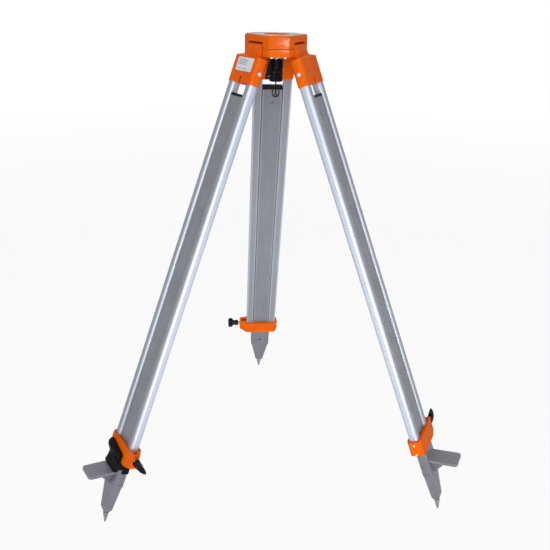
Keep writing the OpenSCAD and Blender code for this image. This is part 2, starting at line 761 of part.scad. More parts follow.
// Sloped tread on the outer face, with ribs across it and a web below
module foot_tread() {
    root = foot_out - 4;
    reach = tread_reach - root;
    translate([0, root, -foot_top - tread_drop]) rotate([-tread_slope, 0, 0]) {
        translate([0, 0, -tread_t]) linear_extrude(tread_t) {
            translate([-tread_w / 2, 0]) square([tread_w, reach - tread_corner]);
            translate([-tread_w / 2 + tread_corner, 0]) square([tread_w - 2 * tread_corner, reach]);
            for (s = [-1, 1]) translate([s * (tread_w / 2 - tread_corner), reach - tread_corner])
                circle(tread_corner);
        }
        for (k = [1 : 4]) translate([0, 14 + 9.5 * k, -eps])
            linear_extrude(1.2) square([tread_w - 14, 2.4], center = true);
    }
    rotate([90, 0, 90]) linear_extrude(tread_web_t, center = true)
        polygon([[root - 2, -foot_top - tread_drop - 4],
            [tread_reach - 22, -foot_top - tread_drop - tread_t - 9],
            [foot_out - 1, -foot_mid + 2], [point_y + point_r + 3, -foot_low + 10],
            [point_y + 2, -foot_low + 10]]);
}

module foot(i) {
    key_top = -foot_top - tread_drop - 1;
    key_low = key_top - keyhole_h + keyhole_r;
    color(cast_grey) leg_frame(i) difference() {
        union() {
            intersection() {
                rotate([90, 0, 0]) linear_extrude(60, center = true) foot_front();
                rotate([90, 0, 90]) linear_extrude(foot_w + 2, center = true) foot_side();
            }
            foot_tread();
        }
        translate([0, 0, -foot_top - profile_in_foot - 0.2]) linear_extrude(profile_in_foot + 1)
            square([profile_w + 0.3, profile_lip_d + 0.3], center = true);
        for (s = [-1, 1]) translate([s * foot_w / 2, 0, -foot_mid + 8 - eps])
            linear_extrude(foot_straight - 8 - 34) square([2 * groove_t, groove_w], center = true);
        translate([0, -foot_in + foot_in_wall + 1, 0]) rotate([90, 0, 0]) linear_extrude(foot_in_wall + 2) {
            translate([0, key_low]) circle(keyhole_r);
            translate([-keyhole_r * 0.4, key_low]) square([keyhole_r * 0.8, key_top - key_low]);
        }
        translate([0, point_y, -foot_bottom]) rotate([-point_lean, 0, 0])
            translate([0, 0, -2]) cylinder(r = point_shank_r + press_gap, h = 16);
    }
}

// Steel point with its shank pressed into the foot
module foot_point(i) {
    color(steel * 0.8) leg_frame(i)
        translate([0, point_y, -foot_bottom]) rotate([-point_lean, 0, 0]) {
            cylinder(r = point_shank_r, h = 13.5);
            rotate_extrude() polygon([[0, 0.4], [point_shank_r, 0.4], [point_shank_r, -1.8],
                [point_r, -1.8], [point_r, -6], [point_end_r + 0.4, -point_len + 2],
                [point_end_r, -point_len + 0.9], [point_end_r * 0.7, -point_len + 0.2],
                [0, -point_len]]);
        }
}

module swing_arm() {
    color(black) rotate([0, 0, arm_dir]) translate([pivot_ring, 0, -arm_top - arm_t])
        linear_extrude(arm_t) difference() {
            arm_outline();
            circle(pivot_r + pin_play);
            translate([-pivot_ring, 0]) {
                square([2 * bush_travel, slot_w], center = true);
                for (s = [-1, 1]) translate([s * bush_travel, 0]) circle(slot_w / 2);
            }
        }
}

module arm_pivot() {
    arm_low = arm_top + arm_t + seat;
    color(steel) rotate([0, 0, arm_dir]) translate([pivot_ring, 0, 0]) {
        translate([0, 0, -arm_low]) cylinder(r = pivot_r, h = arm_low - pin_depth - cap_gap - 1);
        translate([0, 0, -arm_low - 3]) cylinder(r = 7.5, h = 3);
        translate([0, 0, -lobe_h - 2]) cylinder(r = 5.5, h = lobe_h - arm_top - arm_t, $fn = 6);
    }
}

module screw_bush() {
    color(brass) difference() {
        union() {
            translate([0, 0, -bush_bottom]) cylinder(r = bush_r, h = bush_bottom - bush_top);
            translate([0, 0, -arm_top + seat]) cylinder(r = bush_r + 2.2, h = bush_flange_h);
        }
        translate([0, 0, -60]) cylinder(r = shank_r + stud_play, h = 60);
    }
}

module retaining_ring() {
    color(steel) translate([0, 0, -bush_top + seat]) difference() {
        cylinder(r = ring_r, h = ring_t);
        translate([0, 0, -1]) cylinder(r = shank_r + stud_play, h = ring_t + 2);
    }
}

module fixing_stud() {
    foot_z = knob_top + knob_socket;
    color(steel) {
        translate([0, 0, -foot_z]) cylinder(r = shank_r, h = foot_z - thread_end + eps);
        translate([0, 0, -thread_end]) cylinder(r = stud_r, h = thread_end - stud_top - 1);
        translate([0, 0, -stud_top - 1]) cylinder(r1 = stud_r, r2 = stud_r - 1, h = 1);
        translate([0, 0, -knob_top + press_gap]) cylinder(r = washer_r, h = washer_t);
    }
}

module fixing_knob() {
    color(black) difference() {
        union() {
            translate([0, 0, -knob_top - collar_h]) cylinder(r = collar_r, h = collar_h);
            translate([0, 0, -knob_low]) cylinder(r = knob_r, h = knob_h + eps);
            rotate([90, 0, 0]) linear_extrude(paddle_t, center = true)
                polygon([[0, -knob_low + 3], [-knob_r, -knob_low + 3], [-paddle_reach + 2, -knob_low + 5],
                    [-paddle_reach, -knob_low + 7], [-collar_r + 0.6, -knob_top - 2], [0, -knob_top - 2]]);
        }
        translate([0, 0, -knob_top - collar_h]) rotate_extrude()
            polygon([[knob_r - 1.4, 0], [knob_r + 6, 0.9], [knob_r + 6, -0.9]]);
        for (a = [0 : 30 : 330]) if (a != 180) rotate([0, 0, a])
            translate([knob_r + 0.8, 0, -knob_low - 1]) cylinder(r = flute_r, h = knob_h - 2, $fn = 24);
        translate([0, 0, -knob_top - knob_socket - press_gap])
            cylinder(r = shank_r + press_gap, h = knob_socket + 6);
        translate([0, 0, -knob_low - 1]) cylinder(r = hook_stem_r + pin_play, h = hook_socket + 2);
    }
}

// Anchor shaped hook: a stem with an eye, and a prong that rises on each side of it
module plumb_hook() {
    eye_z = knob_low + hook_stem + hook_eye_r;
    color(steel) translate([0, 0, -eye_z]) {
        translate([0, 0, hook_eye_r]) cylinder(r = hook_stem_r, h = hook_stem + hook_socket);
        rotate([90, 0, 0]) {
            rotate_extrude() translate([hook_eye_r, 0]) circle(hook_wire_r);
            translate([0, hook_half - hook_eye_r - hook_wire_r / 2]) {
                rotate([0, 0, 180]) rotate_extrude(angle = 180)
                    translate([hook_half, 0]) circle(hook_wire_r);
                for (s = [-1, 1]) translate([s * hook_half, 0, 0]) rotate([-90, 0, 0])
                    cylinder(r = hook_wire_r, h = hook_side);
            }
        }
    }
}

module blank_label() {
    label_top = shoulder_top - 3 + face_slope + 3;
    color([0.93, 0.94, 0.95]) leg_frame(2)
        translate([-3, bracket_d / 2 + label_t / 2, -label_top - label_h / 2])
            cube([label_w, label_t, label_h], center = true);
}

// Moulded strap: a collar round the foot and a flap up over the clamp
module closing_strap() {
    w = foot_w + 2 * strap_t;
    d = foot_out + foot_in + 2 * strap_t;
    mid = (foot_out - foot_in) / 2;
    low = foot_top + tread_drop + strap_skirt;
    front_low = foot_top + tread_drop - strap_tread_gap;
    flap_y = clamp_d / 2 + 2 * seat;
    root = foot_out + strap_t - 0.5;
    out = flap_y + strap_roll;
    top = -foot_top + strap_flap_h;
    color(black) leg_frame(2) {
        difference() {
            translate([0, mid, -low]) linear_extrude(low - foot_top - seat) rounded(w, d, 4);
            translate([0, mid, -low - 1]) linear_extrude(low + 2 - foot_top)
                square([foot_w + 0.2, foot_out + foot_in + 0.2], center = true);
            translate([-w, foot_out - 7, -low - 1]) cube([2 * w, 20, low + 1 - front_low]);
        }
        rotate([90, 0, 90]) linear_extrude(foot_w + 4, center = true)
            polygon([[root, -front_low], [root, -foot_top - 3], [flap_y, -foot_top - 0.8],
                [flap_y, top - 4], [flap_y + 2.5, top - 0.8], [out - 7, top], [out - 3, top - 1.5],
                [out - 0.4, top - 5], [out, top - 11], [out - 1.8, top - 17], [out - 7, top - 26],
                [out - 9.4, top - 32], [out - 8.2, -front_low + 6], [out - 4.4, -front_low - 6.6],
                [out - 7, -front_low - 6], [flap_y + 1, -front_low - 4]]);
    }
}

head_casting();
swing_arm();
arm_pivot();
screw_bush();
retaining_ring();
fixing_stud();
fixing_knob();
plumb_hook();
blank_label();
closing_strap();
for (i = legs) {
    bearing_cap(i);
    cap_screws(i);
    hinge_pin(i);
    shoulder_bracket(i);
    leg_tube(i, -1);
    leg_tube(i, 1);
    tube_screws(i);
    leg_clamp(i);
    clamp_rivets(i);
    thrust_pad(i);
    wing_stud(i);
    wing_grip(i);
    inner_profile(i);
    end_cap(i);
    foot(i);
    foot_point(i);
}
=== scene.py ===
import bpy, bmesh, json, math
from mathutils import Matrix, Vector


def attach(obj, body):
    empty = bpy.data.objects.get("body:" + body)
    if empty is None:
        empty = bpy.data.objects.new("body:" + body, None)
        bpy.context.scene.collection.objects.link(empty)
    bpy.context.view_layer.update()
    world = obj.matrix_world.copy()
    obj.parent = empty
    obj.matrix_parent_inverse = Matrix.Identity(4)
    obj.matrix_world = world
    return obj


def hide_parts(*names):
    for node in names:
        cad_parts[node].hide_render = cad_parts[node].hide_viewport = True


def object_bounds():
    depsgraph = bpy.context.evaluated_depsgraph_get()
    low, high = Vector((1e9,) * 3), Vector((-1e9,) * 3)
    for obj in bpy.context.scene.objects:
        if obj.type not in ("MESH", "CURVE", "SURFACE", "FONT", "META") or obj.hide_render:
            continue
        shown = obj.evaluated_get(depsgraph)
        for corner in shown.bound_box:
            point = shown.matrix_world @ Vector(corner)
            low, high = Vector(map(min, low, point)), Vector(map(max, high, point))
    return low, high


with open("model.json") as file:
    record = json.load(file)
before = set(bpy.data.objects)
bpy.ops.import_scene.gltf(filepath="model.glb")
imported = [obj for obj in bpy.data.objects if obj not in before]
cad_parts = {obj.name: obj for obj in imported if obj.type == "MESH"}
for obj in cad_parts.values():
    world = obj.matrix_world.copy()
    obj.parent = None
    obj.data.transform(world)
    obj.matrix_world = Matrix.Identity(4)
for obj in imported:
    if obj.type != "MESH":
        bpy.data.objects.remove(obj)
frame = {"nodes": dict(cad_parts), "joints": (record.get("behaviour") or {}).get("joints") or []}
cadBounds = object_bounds()
nodes = frame["nodes"]
joints = {joint["name"]: joint for joint in frame["joints"]}
legNumbers = (1, 2, 3)

# Camera, fitted to the photograph: place in metres, angles in degrees
cameraSetup = {
    "place": (-0.1139, -1.3862, 0.0861), "tiltDown": 23.33, "turn": -5.00, "roll": 1.33,
    "lens": 43.89, "sensor": 36, "clip": (0.01, 60),
}


def makeCamera():
    data = bpy.data.cameras.new("photoCamera")
    data.lens = cameraSetup["lens"]
    data.sensor_width = cameraSetup["sensor"]
    data.clip_start, data.clip_end = cameraSetup["clip"]
    camera = bpy.data.objects.new("photoCamera", data)
    bpy.context.scene.collection.objects.link(camera)
    turn = Matrix.Rotation(math.radians(cameraSetup["turn"]), 4, "Z")
    tilt = Matrix.Rotation(math.radians(90 - cameraSetup["tiltDown"]), 4, "X")
    roll = Matrix.Rotation(math.radians(cameraSetup["roll"]), 4, "Z")
    camera.matrix_world = Matrix.Translation(cameraSetup["place"]) @ turn @ tilt @ roll
    bpy.context.scene.camera = camera


makeCamera()
print("camera placed")


def fillSocket(tree, socket, value):
    # Links a socket or writes a plain value on it; a colour gets its alpha here
    if isinstance(value, bpy.types.NodeSocket):
        tree.links.new(value, socket)
    elif socket.type == "RGBA":
        socket.default_value = (*value, 1)
    else:
        socket.default_value = value


def addNode(tree, kind, inputs=None, **settings):
    made = tree.nodes.new(kind)
    for key, value in settings.items():
        setattr(made, key, value)
    for key, value in (inputs or {}).items():
        fillSocket(tree, made.inputs[key], value)
    return made


def mathNode(tree, operation, first, second, clamp=False):
    return addNode(tree, "ShaderNodeMath", {0: first, 1: second},
                   operation=operation, use_clamp=clamp).outputs[0]


def maskOf(tree, first, second, amount):
    # The product of two masks, times the amount, kept between 0 and 1
    return mathNode(tree, "MULTIPLY", mathNode(tree, "MULTIPLY", first, second), amount, True)


def stretch(tree, value, low, high, newLow=0.0, newHigh=1.0):
    made = addNode(tree, "ShaderNodeMapRange", {"Value": value, "From Min": low, "From Max": high,
                   "To Min": newLow, "To Max": newHigh}, interpolation_type="SMOOTHSTEP")
    return made.outputs["Result"]


def mixColour(tree, factor, first, second, blend="MIX"):
    made = addNode(tree, "ShaderNodeMix", data_type="RGBA", blend_type=blend)
    factorIn = [s for s in made.inputs if s.type == "VALUE" and s.enabled][0]
    firstIn, secondIn = [s for s in made.inputs if s.type == "RGBA"]
    for socket, value in ((factorIn, factor), (firstIn, first), (secondIn, second)):
        fillSocket(tree, socket, value)
    return [s for s in made.outputs if s.type == "RGBA"][0]


def noiseAt(tree, place, scale, detail, rough, distortion=0.0):
    return addNode(tree, "ShaderNodeTexNoise", {"Vector": place, "Scale": scale, "Detail": detail,
                   "Roughness": rough, "Distortion": distortion}).outputs["Fac"]


def edgeWearAndSheen(tree, given, look):
    # Finds edges by comparing rounded and true normals, then breaks the line up
    rounded = addNode(tree, "ShaderNodeBevel", {"Radius": given["Radius"]}, samples=look["samples"])
    normal = tree.nodes.new("ShaderNodeNewGeometry").outputs["Normal"]
    dot = addNode(tree, "ShaderNodeVectorMath", {0: rounded.outputs[0], 1: normal},
                  operation="DOT_PRODUCT").outputs["Value"]
    edge = stretch(tree, mathNode(tree, "SUBTRACT", 1.0, dot), *look["edgeRange"])
    patch = noiseAt(tree, given["Place"], given["Scale"], *look["patchNoise"])
    return {"Mask": maskOf(tree, edge, stretch(tree, patch, *look["patchRange"]), given["Amount"])}


def castGrain(tree, given, look):
    # Orange peel of a coat or the sand texture of a casting, with slow colour drift
    place, grain = given["Place"], given["Grain"]
    fine = noiseAt(tree, place, grain, *look["fineNoise"])
    coarse = noiseAt(tree, place, mathNode(tree, "MULTIPLY", grain, look["coarseScale"]), *look["coarseNoise"])
    height = mathNode(tree, "ADD", mathNode(tree, "MULTIPLY", fine, look["fineShare"]),
                      mathNode(tree, "MULTIPLY", coarse, look["coarseShare"]))
    drift = noiseAt(tree, place, given["Drift"], *look["driftNoise"])
    pits = addNode(tree, "ShaderNodeTexVoronoi", {"Vector": place,
                   "Scale": mathNode(tree, "MULTIPLY", grain, look["pitScale"])}).outputs["Distance"]
    return {"Height": height, "Variation": stretch(tree, drift, *look["driftRange"]),
            "Pits": stretch(tree, pits, *look["pitRange"])}


def drawnStreaks(tree, given, look):
    # Long fine lines of a drawn tube along the leg, with a few short scratches
    place = given["Place"]
    long = addNode(tree, "ShaderNodeVectorMath", {0: place, 1: look["streakStretch"]},
                   operation="MULTIPLY").outputs[0]
    streak = noiseAt(tree, long, given["Across"], *look["streakNoise"])
    tilted = addNode(tree, "ShaderNodeMapping", {"Vector": place, "Rotation": look["scratchTurn"],
                     "Scale": look["scratchStretch"]}).outputs[0]
    scratch = addNode(tree, "ShaderNodeTexVoronoi", {"Vector": tilted, "Scale": look["scratchScale"]},
                      feature="DISTANCE_TO_EDGE").outputs["Distance"]
    line = mathNode(tree, "SUBTRACT", 1.0, stretch(tree, scratch, 0.0, look["scratchWidth"]))
    chance = noiseAt(tree, place, look["chanceScale"], *look["chanceNoise"])
    chance = stretch(tree, chance, *look["chanceRange"])
    smudge = noiseAt(tree, place, look["smudgeScale"], *look["smudgeNoise"])
    return {"Streak": stretch(tree, streak, *look["streakRange"]),
            "Scratch": maskOf(tree, line, chance, given["Scratches"]),
            "Smudge": stretch(tree, smudge, *look["smudgeRange"])}


def settledDust(tree, given, look):
    # Dust that settles on faces that look up and fades towards the sides
    normal = tree.nodes.new("ShaderNodeNewGeometry").outputs["Normal"]
    up = stretch(tree, addNode(tree, "ShaderNodeSeparateXYZ", {0: normal}).outputs["Z"], *look["upRange"])
    patch = noiseAt(tree, given["Place"], look["patchScale"], *look["patchNoise"])
    return {"Mask": maskOf(tree, up, stretch(tree, patch, *look["patchRange"]), given["Amount"])}


def creaseShadeAndGrime(tree, given, look):
    # Painted shade with some dark dirt: darker in seams, slots and inner corners, where ambient occlusion finds
    # surfaces close by
    hidden = addNode(tree, "ShaderNodeAmbientOcclusion", {"Distance": given["Reach"]}, samples=look["samples"])
    crease = mathNode(tree, "SUBTRACT", 1.0, stretch(tree, hidden.outputs["AO"], *look["openRange"]))
    patch = noiseAt(tree, given["Place"], look["patchScale"], *look["patchNoise"])
    patch = stretch(tree, patch, *look["patchRange"], *look["patchMask"])
    return {"Mask": maskOf(tree, crease, patch, given["Amount"])}


# Values are the group's own inputs as they start; a Noise is (detail, roughness, distortion)
# and a Range is (none from, full from)
effects = {
    "creaseShadeAndGrime": (creaseShadeAndGrime, {
        "values": {"Reach": 0.006, "Amount": 0.7}, "samples": 6, "openRange": (0.15, 0.72),
        "patchScale": 120.0, "patchNoise": (4, 0.6), "patchRange": (0.2, 0.6), "patchMask": (0.7, 1.0)}),
    "edgeWearAndSheen": (edgeWearAndSheen, {
        "values": {"Radius": 0.0012, "Amount": 0.5, "Scale": 260.0}, "samples": 4,
        "edgeRange": (0.02, 0.16), "patchNoise": (5, 0.65), "patchRange": (0.42, 0.62)}),
    "castGrain": (castGrain, {
        "values": {"Grain": 900.0, "Drift": 22.0}, "fineNoise": (3, 0.6), "fineShare": 0.6,
        "coarseNoise": (2, 0.5), "coarseShare": 0.4, "coarseScale": 0.22,  # scales are times the grain
        "driftNoise": (5, 0.6, 0.6), "driftRange": (0.3, 0.7), "pitScale": 0.5, "pitRange": (0.05, 0.3)}),
    "drawnStreaks": (drawnStreaks, {
        "values": {"Across": 1400.0, "Scratches": 0.5}, "streakStretch": (1.0, 1.0, 0.012),
        "streakNoise": (3, 0.6), "streakRange": (0.25, 0.75), "scratchTurn": (0.2, 0.9, 0.4),
        "scratchStretch": (1.0, 1.0, 0.05), "scratchScale": 240.0, "scratchWidth": 0.035,
        "chanceScale": 38.0, "chanceNoise": (3, 0.55), "chanceRange": (0.56, 0.68),
        "smudgeScale": 16.0, "smudgeNoise": (5, 0.6, 1.0), "smudgeRange": (0.35, 0.7)}),
    "settledDust": (settledDust, {
        "values": {"Amount": 0.3}, "patchScale": 60.0, "patchNoise": (6, 0.7), "patchRange": (0.4, 0.75),
        "upRange": (0.1, 1.0)}),
}


def makeGroup(name, build, look):
    # Every effect takes the place on the piece and its own values, and gives what build returns
    tree = bpy.data.node_groups.new(name, "ShaderNodeTree")
    tree.interface.new_socket("Place", in_out="INPUT", socket_type="NodeSocketVector")
    for title, value in look["values"].items():
        socket = tree.interface.new_socket(title, in_out="INPUT", socket_type="NodeSocketFloat")
        socket.default_value = value
    made = build(tree, tree.nodes.new("NodeGroupInput").outputs, look)
    for title in made:
        tree.interface.new_socket(title, in_out="OUTPUT", socket_type="NodeSocketFloat")
    out = tree.nodes.new("NodeGroupOutput")
    for title, socket in made.items():
        tree.links.new(socket, out.inputs[title])
    return tree


groups = {name: makeGroup(name, build, look) for name, (build, look) in effects.items()}
print("shared effects made:", len(groups))


def useGroup(tree, name, place, **values):
    return addNode(tree, "ShaderNodeGroup", {"Place": place, **values}, node_tree=groups[name]).outputs


# pale edges: real wear, and on the orange coat a painted highlight along its rounded edges
def wearAndSheenEdges(tree, place, look):
    return useGroup(tree, "edgeWearAndSheen", place, Radius=look["edgeRadius"], Amount=look["edgeAmount"],
                    Scale=look["edgeScale"])["Mask"]


# the grime amount gives painted shade, with some dirt, in creases
castDetail = {"edgeScale": 260.0, "grime": 0.75, "dustRoughness": 0.25}


def castFinish(tree, place, look):
    # Coated or bare casting: grain, slow drift of colour, pale edges (worn, and on the orange coat also a
    # painted highlight), a little dust, and painted shade with some grime in creases
    look = {**castDetail, **look}
    grain = useGroup(tree, "castGrain", place, Grain=look["grain"], Drift=look["drift"])
    edges = wearAndSheenEdges(tree, place, look)
    dust = useGroup(tree, "settledDust", place, Amount=look["dust"])["Mask"]
    grime = useGroup(tree, "creaseShadeAndGrime", place, Reach=look["creaseReach"], Amount=look["grime"])["Mask"]
    colour = mixColour(tree, grain["Variation"], *look["colours"])
    colour = mixColour(tree, 1.0, colour, stretch(tree, grain["Pits"], 0, 1, look["pitShade"], 1.0), "MULTIPLY")
    colour = mixColour(tree, edges, colour, look["edgeColour"])
    colour = mixColour(tree, dust, colour, look["dustColour"])
    # painted shade, with some grime, in creases
    colour = mixColour(tree, grime, colour, look["creaseColour"])
    rough = mathNode(tree, "ADD", stretch(tree, grain["Variation"], 0, 1, *look["roughness"]),
                     mathNode(tree, "MULTIPLY", dust, look["dustRoughness"]), True)
    made = {"Base Color": colour, "Roughness": rough, "Height": grain["Height"]}
    if look["metal"]:  # from the skin to the worn edges
        made["Metallic"] = stretch(tree, edges, 0, 1, *look["metal"])
    return made


drawnDetail = {
    # the grime amount and colour give painted shade, with some dirt, in creases
    "edgeRadius": 0.0008, "edgeAmount": 0.5, "edgeScale": 160.0, "grime": 0.6,
    "shadeAndGrimeColour": (0.03, 0.03, 0.035), "smudgeRoughness": 0.1, "scratchDepth": 1.5,
}


def drawnFinish(tree, place, look):
    # Drawn and anodised aluminium: lengthwise streaks, scratches and hand marks, a band of painted light across
    # the section, and painted shade with some grime in creases
    look = {**drawnDetail, **look}
    marks = useGroup(tree, "drawnStreaks", place, Across=look["across"], Scratches=look["scratches"])
    grime = useGroup(tree, "creaseShadeAndGrime", place, Reach=look["creaseReach"], Amount=look["grime"])["Mask"]
    colour = mixColour(tree, marks["Streak"], *look["colours"])
    smudge = mathNode(tree, "MULTIPLY", marks["Smudge"], look["smudge"])
    colour = mixColour(tree, smudge, colour, look["smudgeColour"])
    # painted light on part of the section: a band across the leg's X or Y axis gets its own colour, painted
    # shade on the tube's flat faces and a painted highlight, with some rubbing, along the profile's lips
    axis, start, end = look["brightBand"]
    across = addNode(tree, "ShaderNodeSeparateXYZ", {0: place}).outputs[axis]
    paintedLight = stretch(tree, mathNode(tree, "ABSOLUTE", across, 0.0), start, end)
    colour = mixColour(tree, paintedLight, colour, look["bandColour"])
    colour = mixColour(tree, marks["Scratch"], colour, look["scratchColour"])
    colour = mixColour(tree, wearAndSheenEdges(tree, place, look), colour, look["scratchColour"])
    # painted shade, with some grime, in creases and grooves
    colour = mixColour(tree, grime, colour, look["shadeAndGrimeColour"])
    rough = mathNode(tree, "ADD", stretch(tree, marks["Streak"], 0, 1, *look["roughness"]),
                     mathNode(tree, "MULTIPLY", marks["Smudge"], look["smudgeRoughness"]), True)
    height = mathNode(tree, "SUBTRACT", marks["Streak"],
                      mathNode(tree, "MULTIPLY", marks["Scratch"], look["scratchDepth"]))
    return {"Base Color": colour, "Roughness": rough, "Height": height}


def turnedRings(tree, place, look):
    return addNode(tree, "ShaderNodeTexWave", {"Vector": place, "Scale": look["rings"], "Distortion":
                   look["ringWobble"], "Detail": look["ringDetail"]}, wave_type="RINGS",
                   rings_direction="Z").outputs["Fac"]


turnedDetail = {
    "ringWobble": 1.2, "ringDetail": 2.0, "stainNoise": (5, 0.65, 0.8), "stainRange": (0.35, 0.7),
    "edgeRadius": 0.0005, "edgeAmount": 0.7, "edgeScale": 500.0,
}


def turnedFinish(tree, place, look):
    # Turned or plated steel and brass: fine rings, stains and bright edges
    look = {**turnedDetail, **look}
    stain = stretch(tree, noiseAt(tree, place, look["stain"], *look["stainNoise"]), *look["stainRange"])
    colour = mixColour(tree, stain, *look["colours"])
    colour = mixColour(tree, wearAndSheenEdges(tree, place, look), colour, look["edgeColour"])
    return {"Base Color": colour, "Roughness": stretch(tree, stain, 0, 1, *look["roughness"]),
            "Height": mathNode(tree, "ADD", turnedRings(tree, place, look), stain)}


mouldedDetail = {
    "fineNoise": (3, 0.6), "sinkScale": 90.0, "sinkNoise": (2, 0.4), "sinkRange": (0.3, 0.7),
    "scuffAcross": 700.0, "edgeRadius": 0.0009, "edgeScale": 420.0,
    "dustColour": (0.32, 0.31, 0.29), "dustRoughness": 0.4,
}


def mouldedFinish(tree, place, look):
    # Moulded plastic and rubber: shallow sink marks, fine texture, scuffs and dust
    look = {**mouldedDetail, **look}
    fine = noiseAt(tree, place, look["texture"], *look["fineNoise"])
    sink = noiseAt(tree, place, look["sinkScale"], *look["sinkNoise"])
    scuff = useGroup(tree, "drawnStreaks", place, Across=look["scuffAcross"], Scratches=look["scuffs"])
    dust = useGroup(tree, "settledDust", place, Amount=look["dust"])["Mask"]
    colour = mixColour(tree, stretch(tree, sink, *look["sinkRange"]), *look["colours"])
    colour = mixColour(tree, wearAndSheenEdges(tree, place, look), colour, look["edgeColour"])
    colour = mixColour(tree, scuff["Scratch"], colour, look["edgeColour"])
    colour = mixColour(tree, dust, colour, look["dustColour"])
    rough = mathNode(tree, "ADD", stretch(tree, scuff["Smudge"], 0, 1, *look["roughness"]),
                     mathNode(tree, "MULTIPLY", dust, look["dustRoughness"]), True)
    height = mathNode(tree, "ADD", mathNode(tree, "MULTIPLY", fine, look["fineShare"]), sink)
    return {"Base Color": colour, "Roughness": rough, "Height": height}


def machinedFinish(tree, place, look):
    # Bare top face of the head: concentric marks of the face milling
    rings = turnedRings(tree, place, look)
    wear = stretch(tree, noiseAt(tree, place, look["wear"], *look["wearNoise"]), *look["wearRange"])
    colour = mixColour(tree, wear, *look["colours"])
    colour = mixColour(tree, mathNode(tree, "MULTIPLY", rings, look["ringShare"]), colour, look["ringColour"])
    return {"Base Color": colour, "Roughness": stretch(tree, wear, 0, 1, *look["roughness"]), "Height": rings}


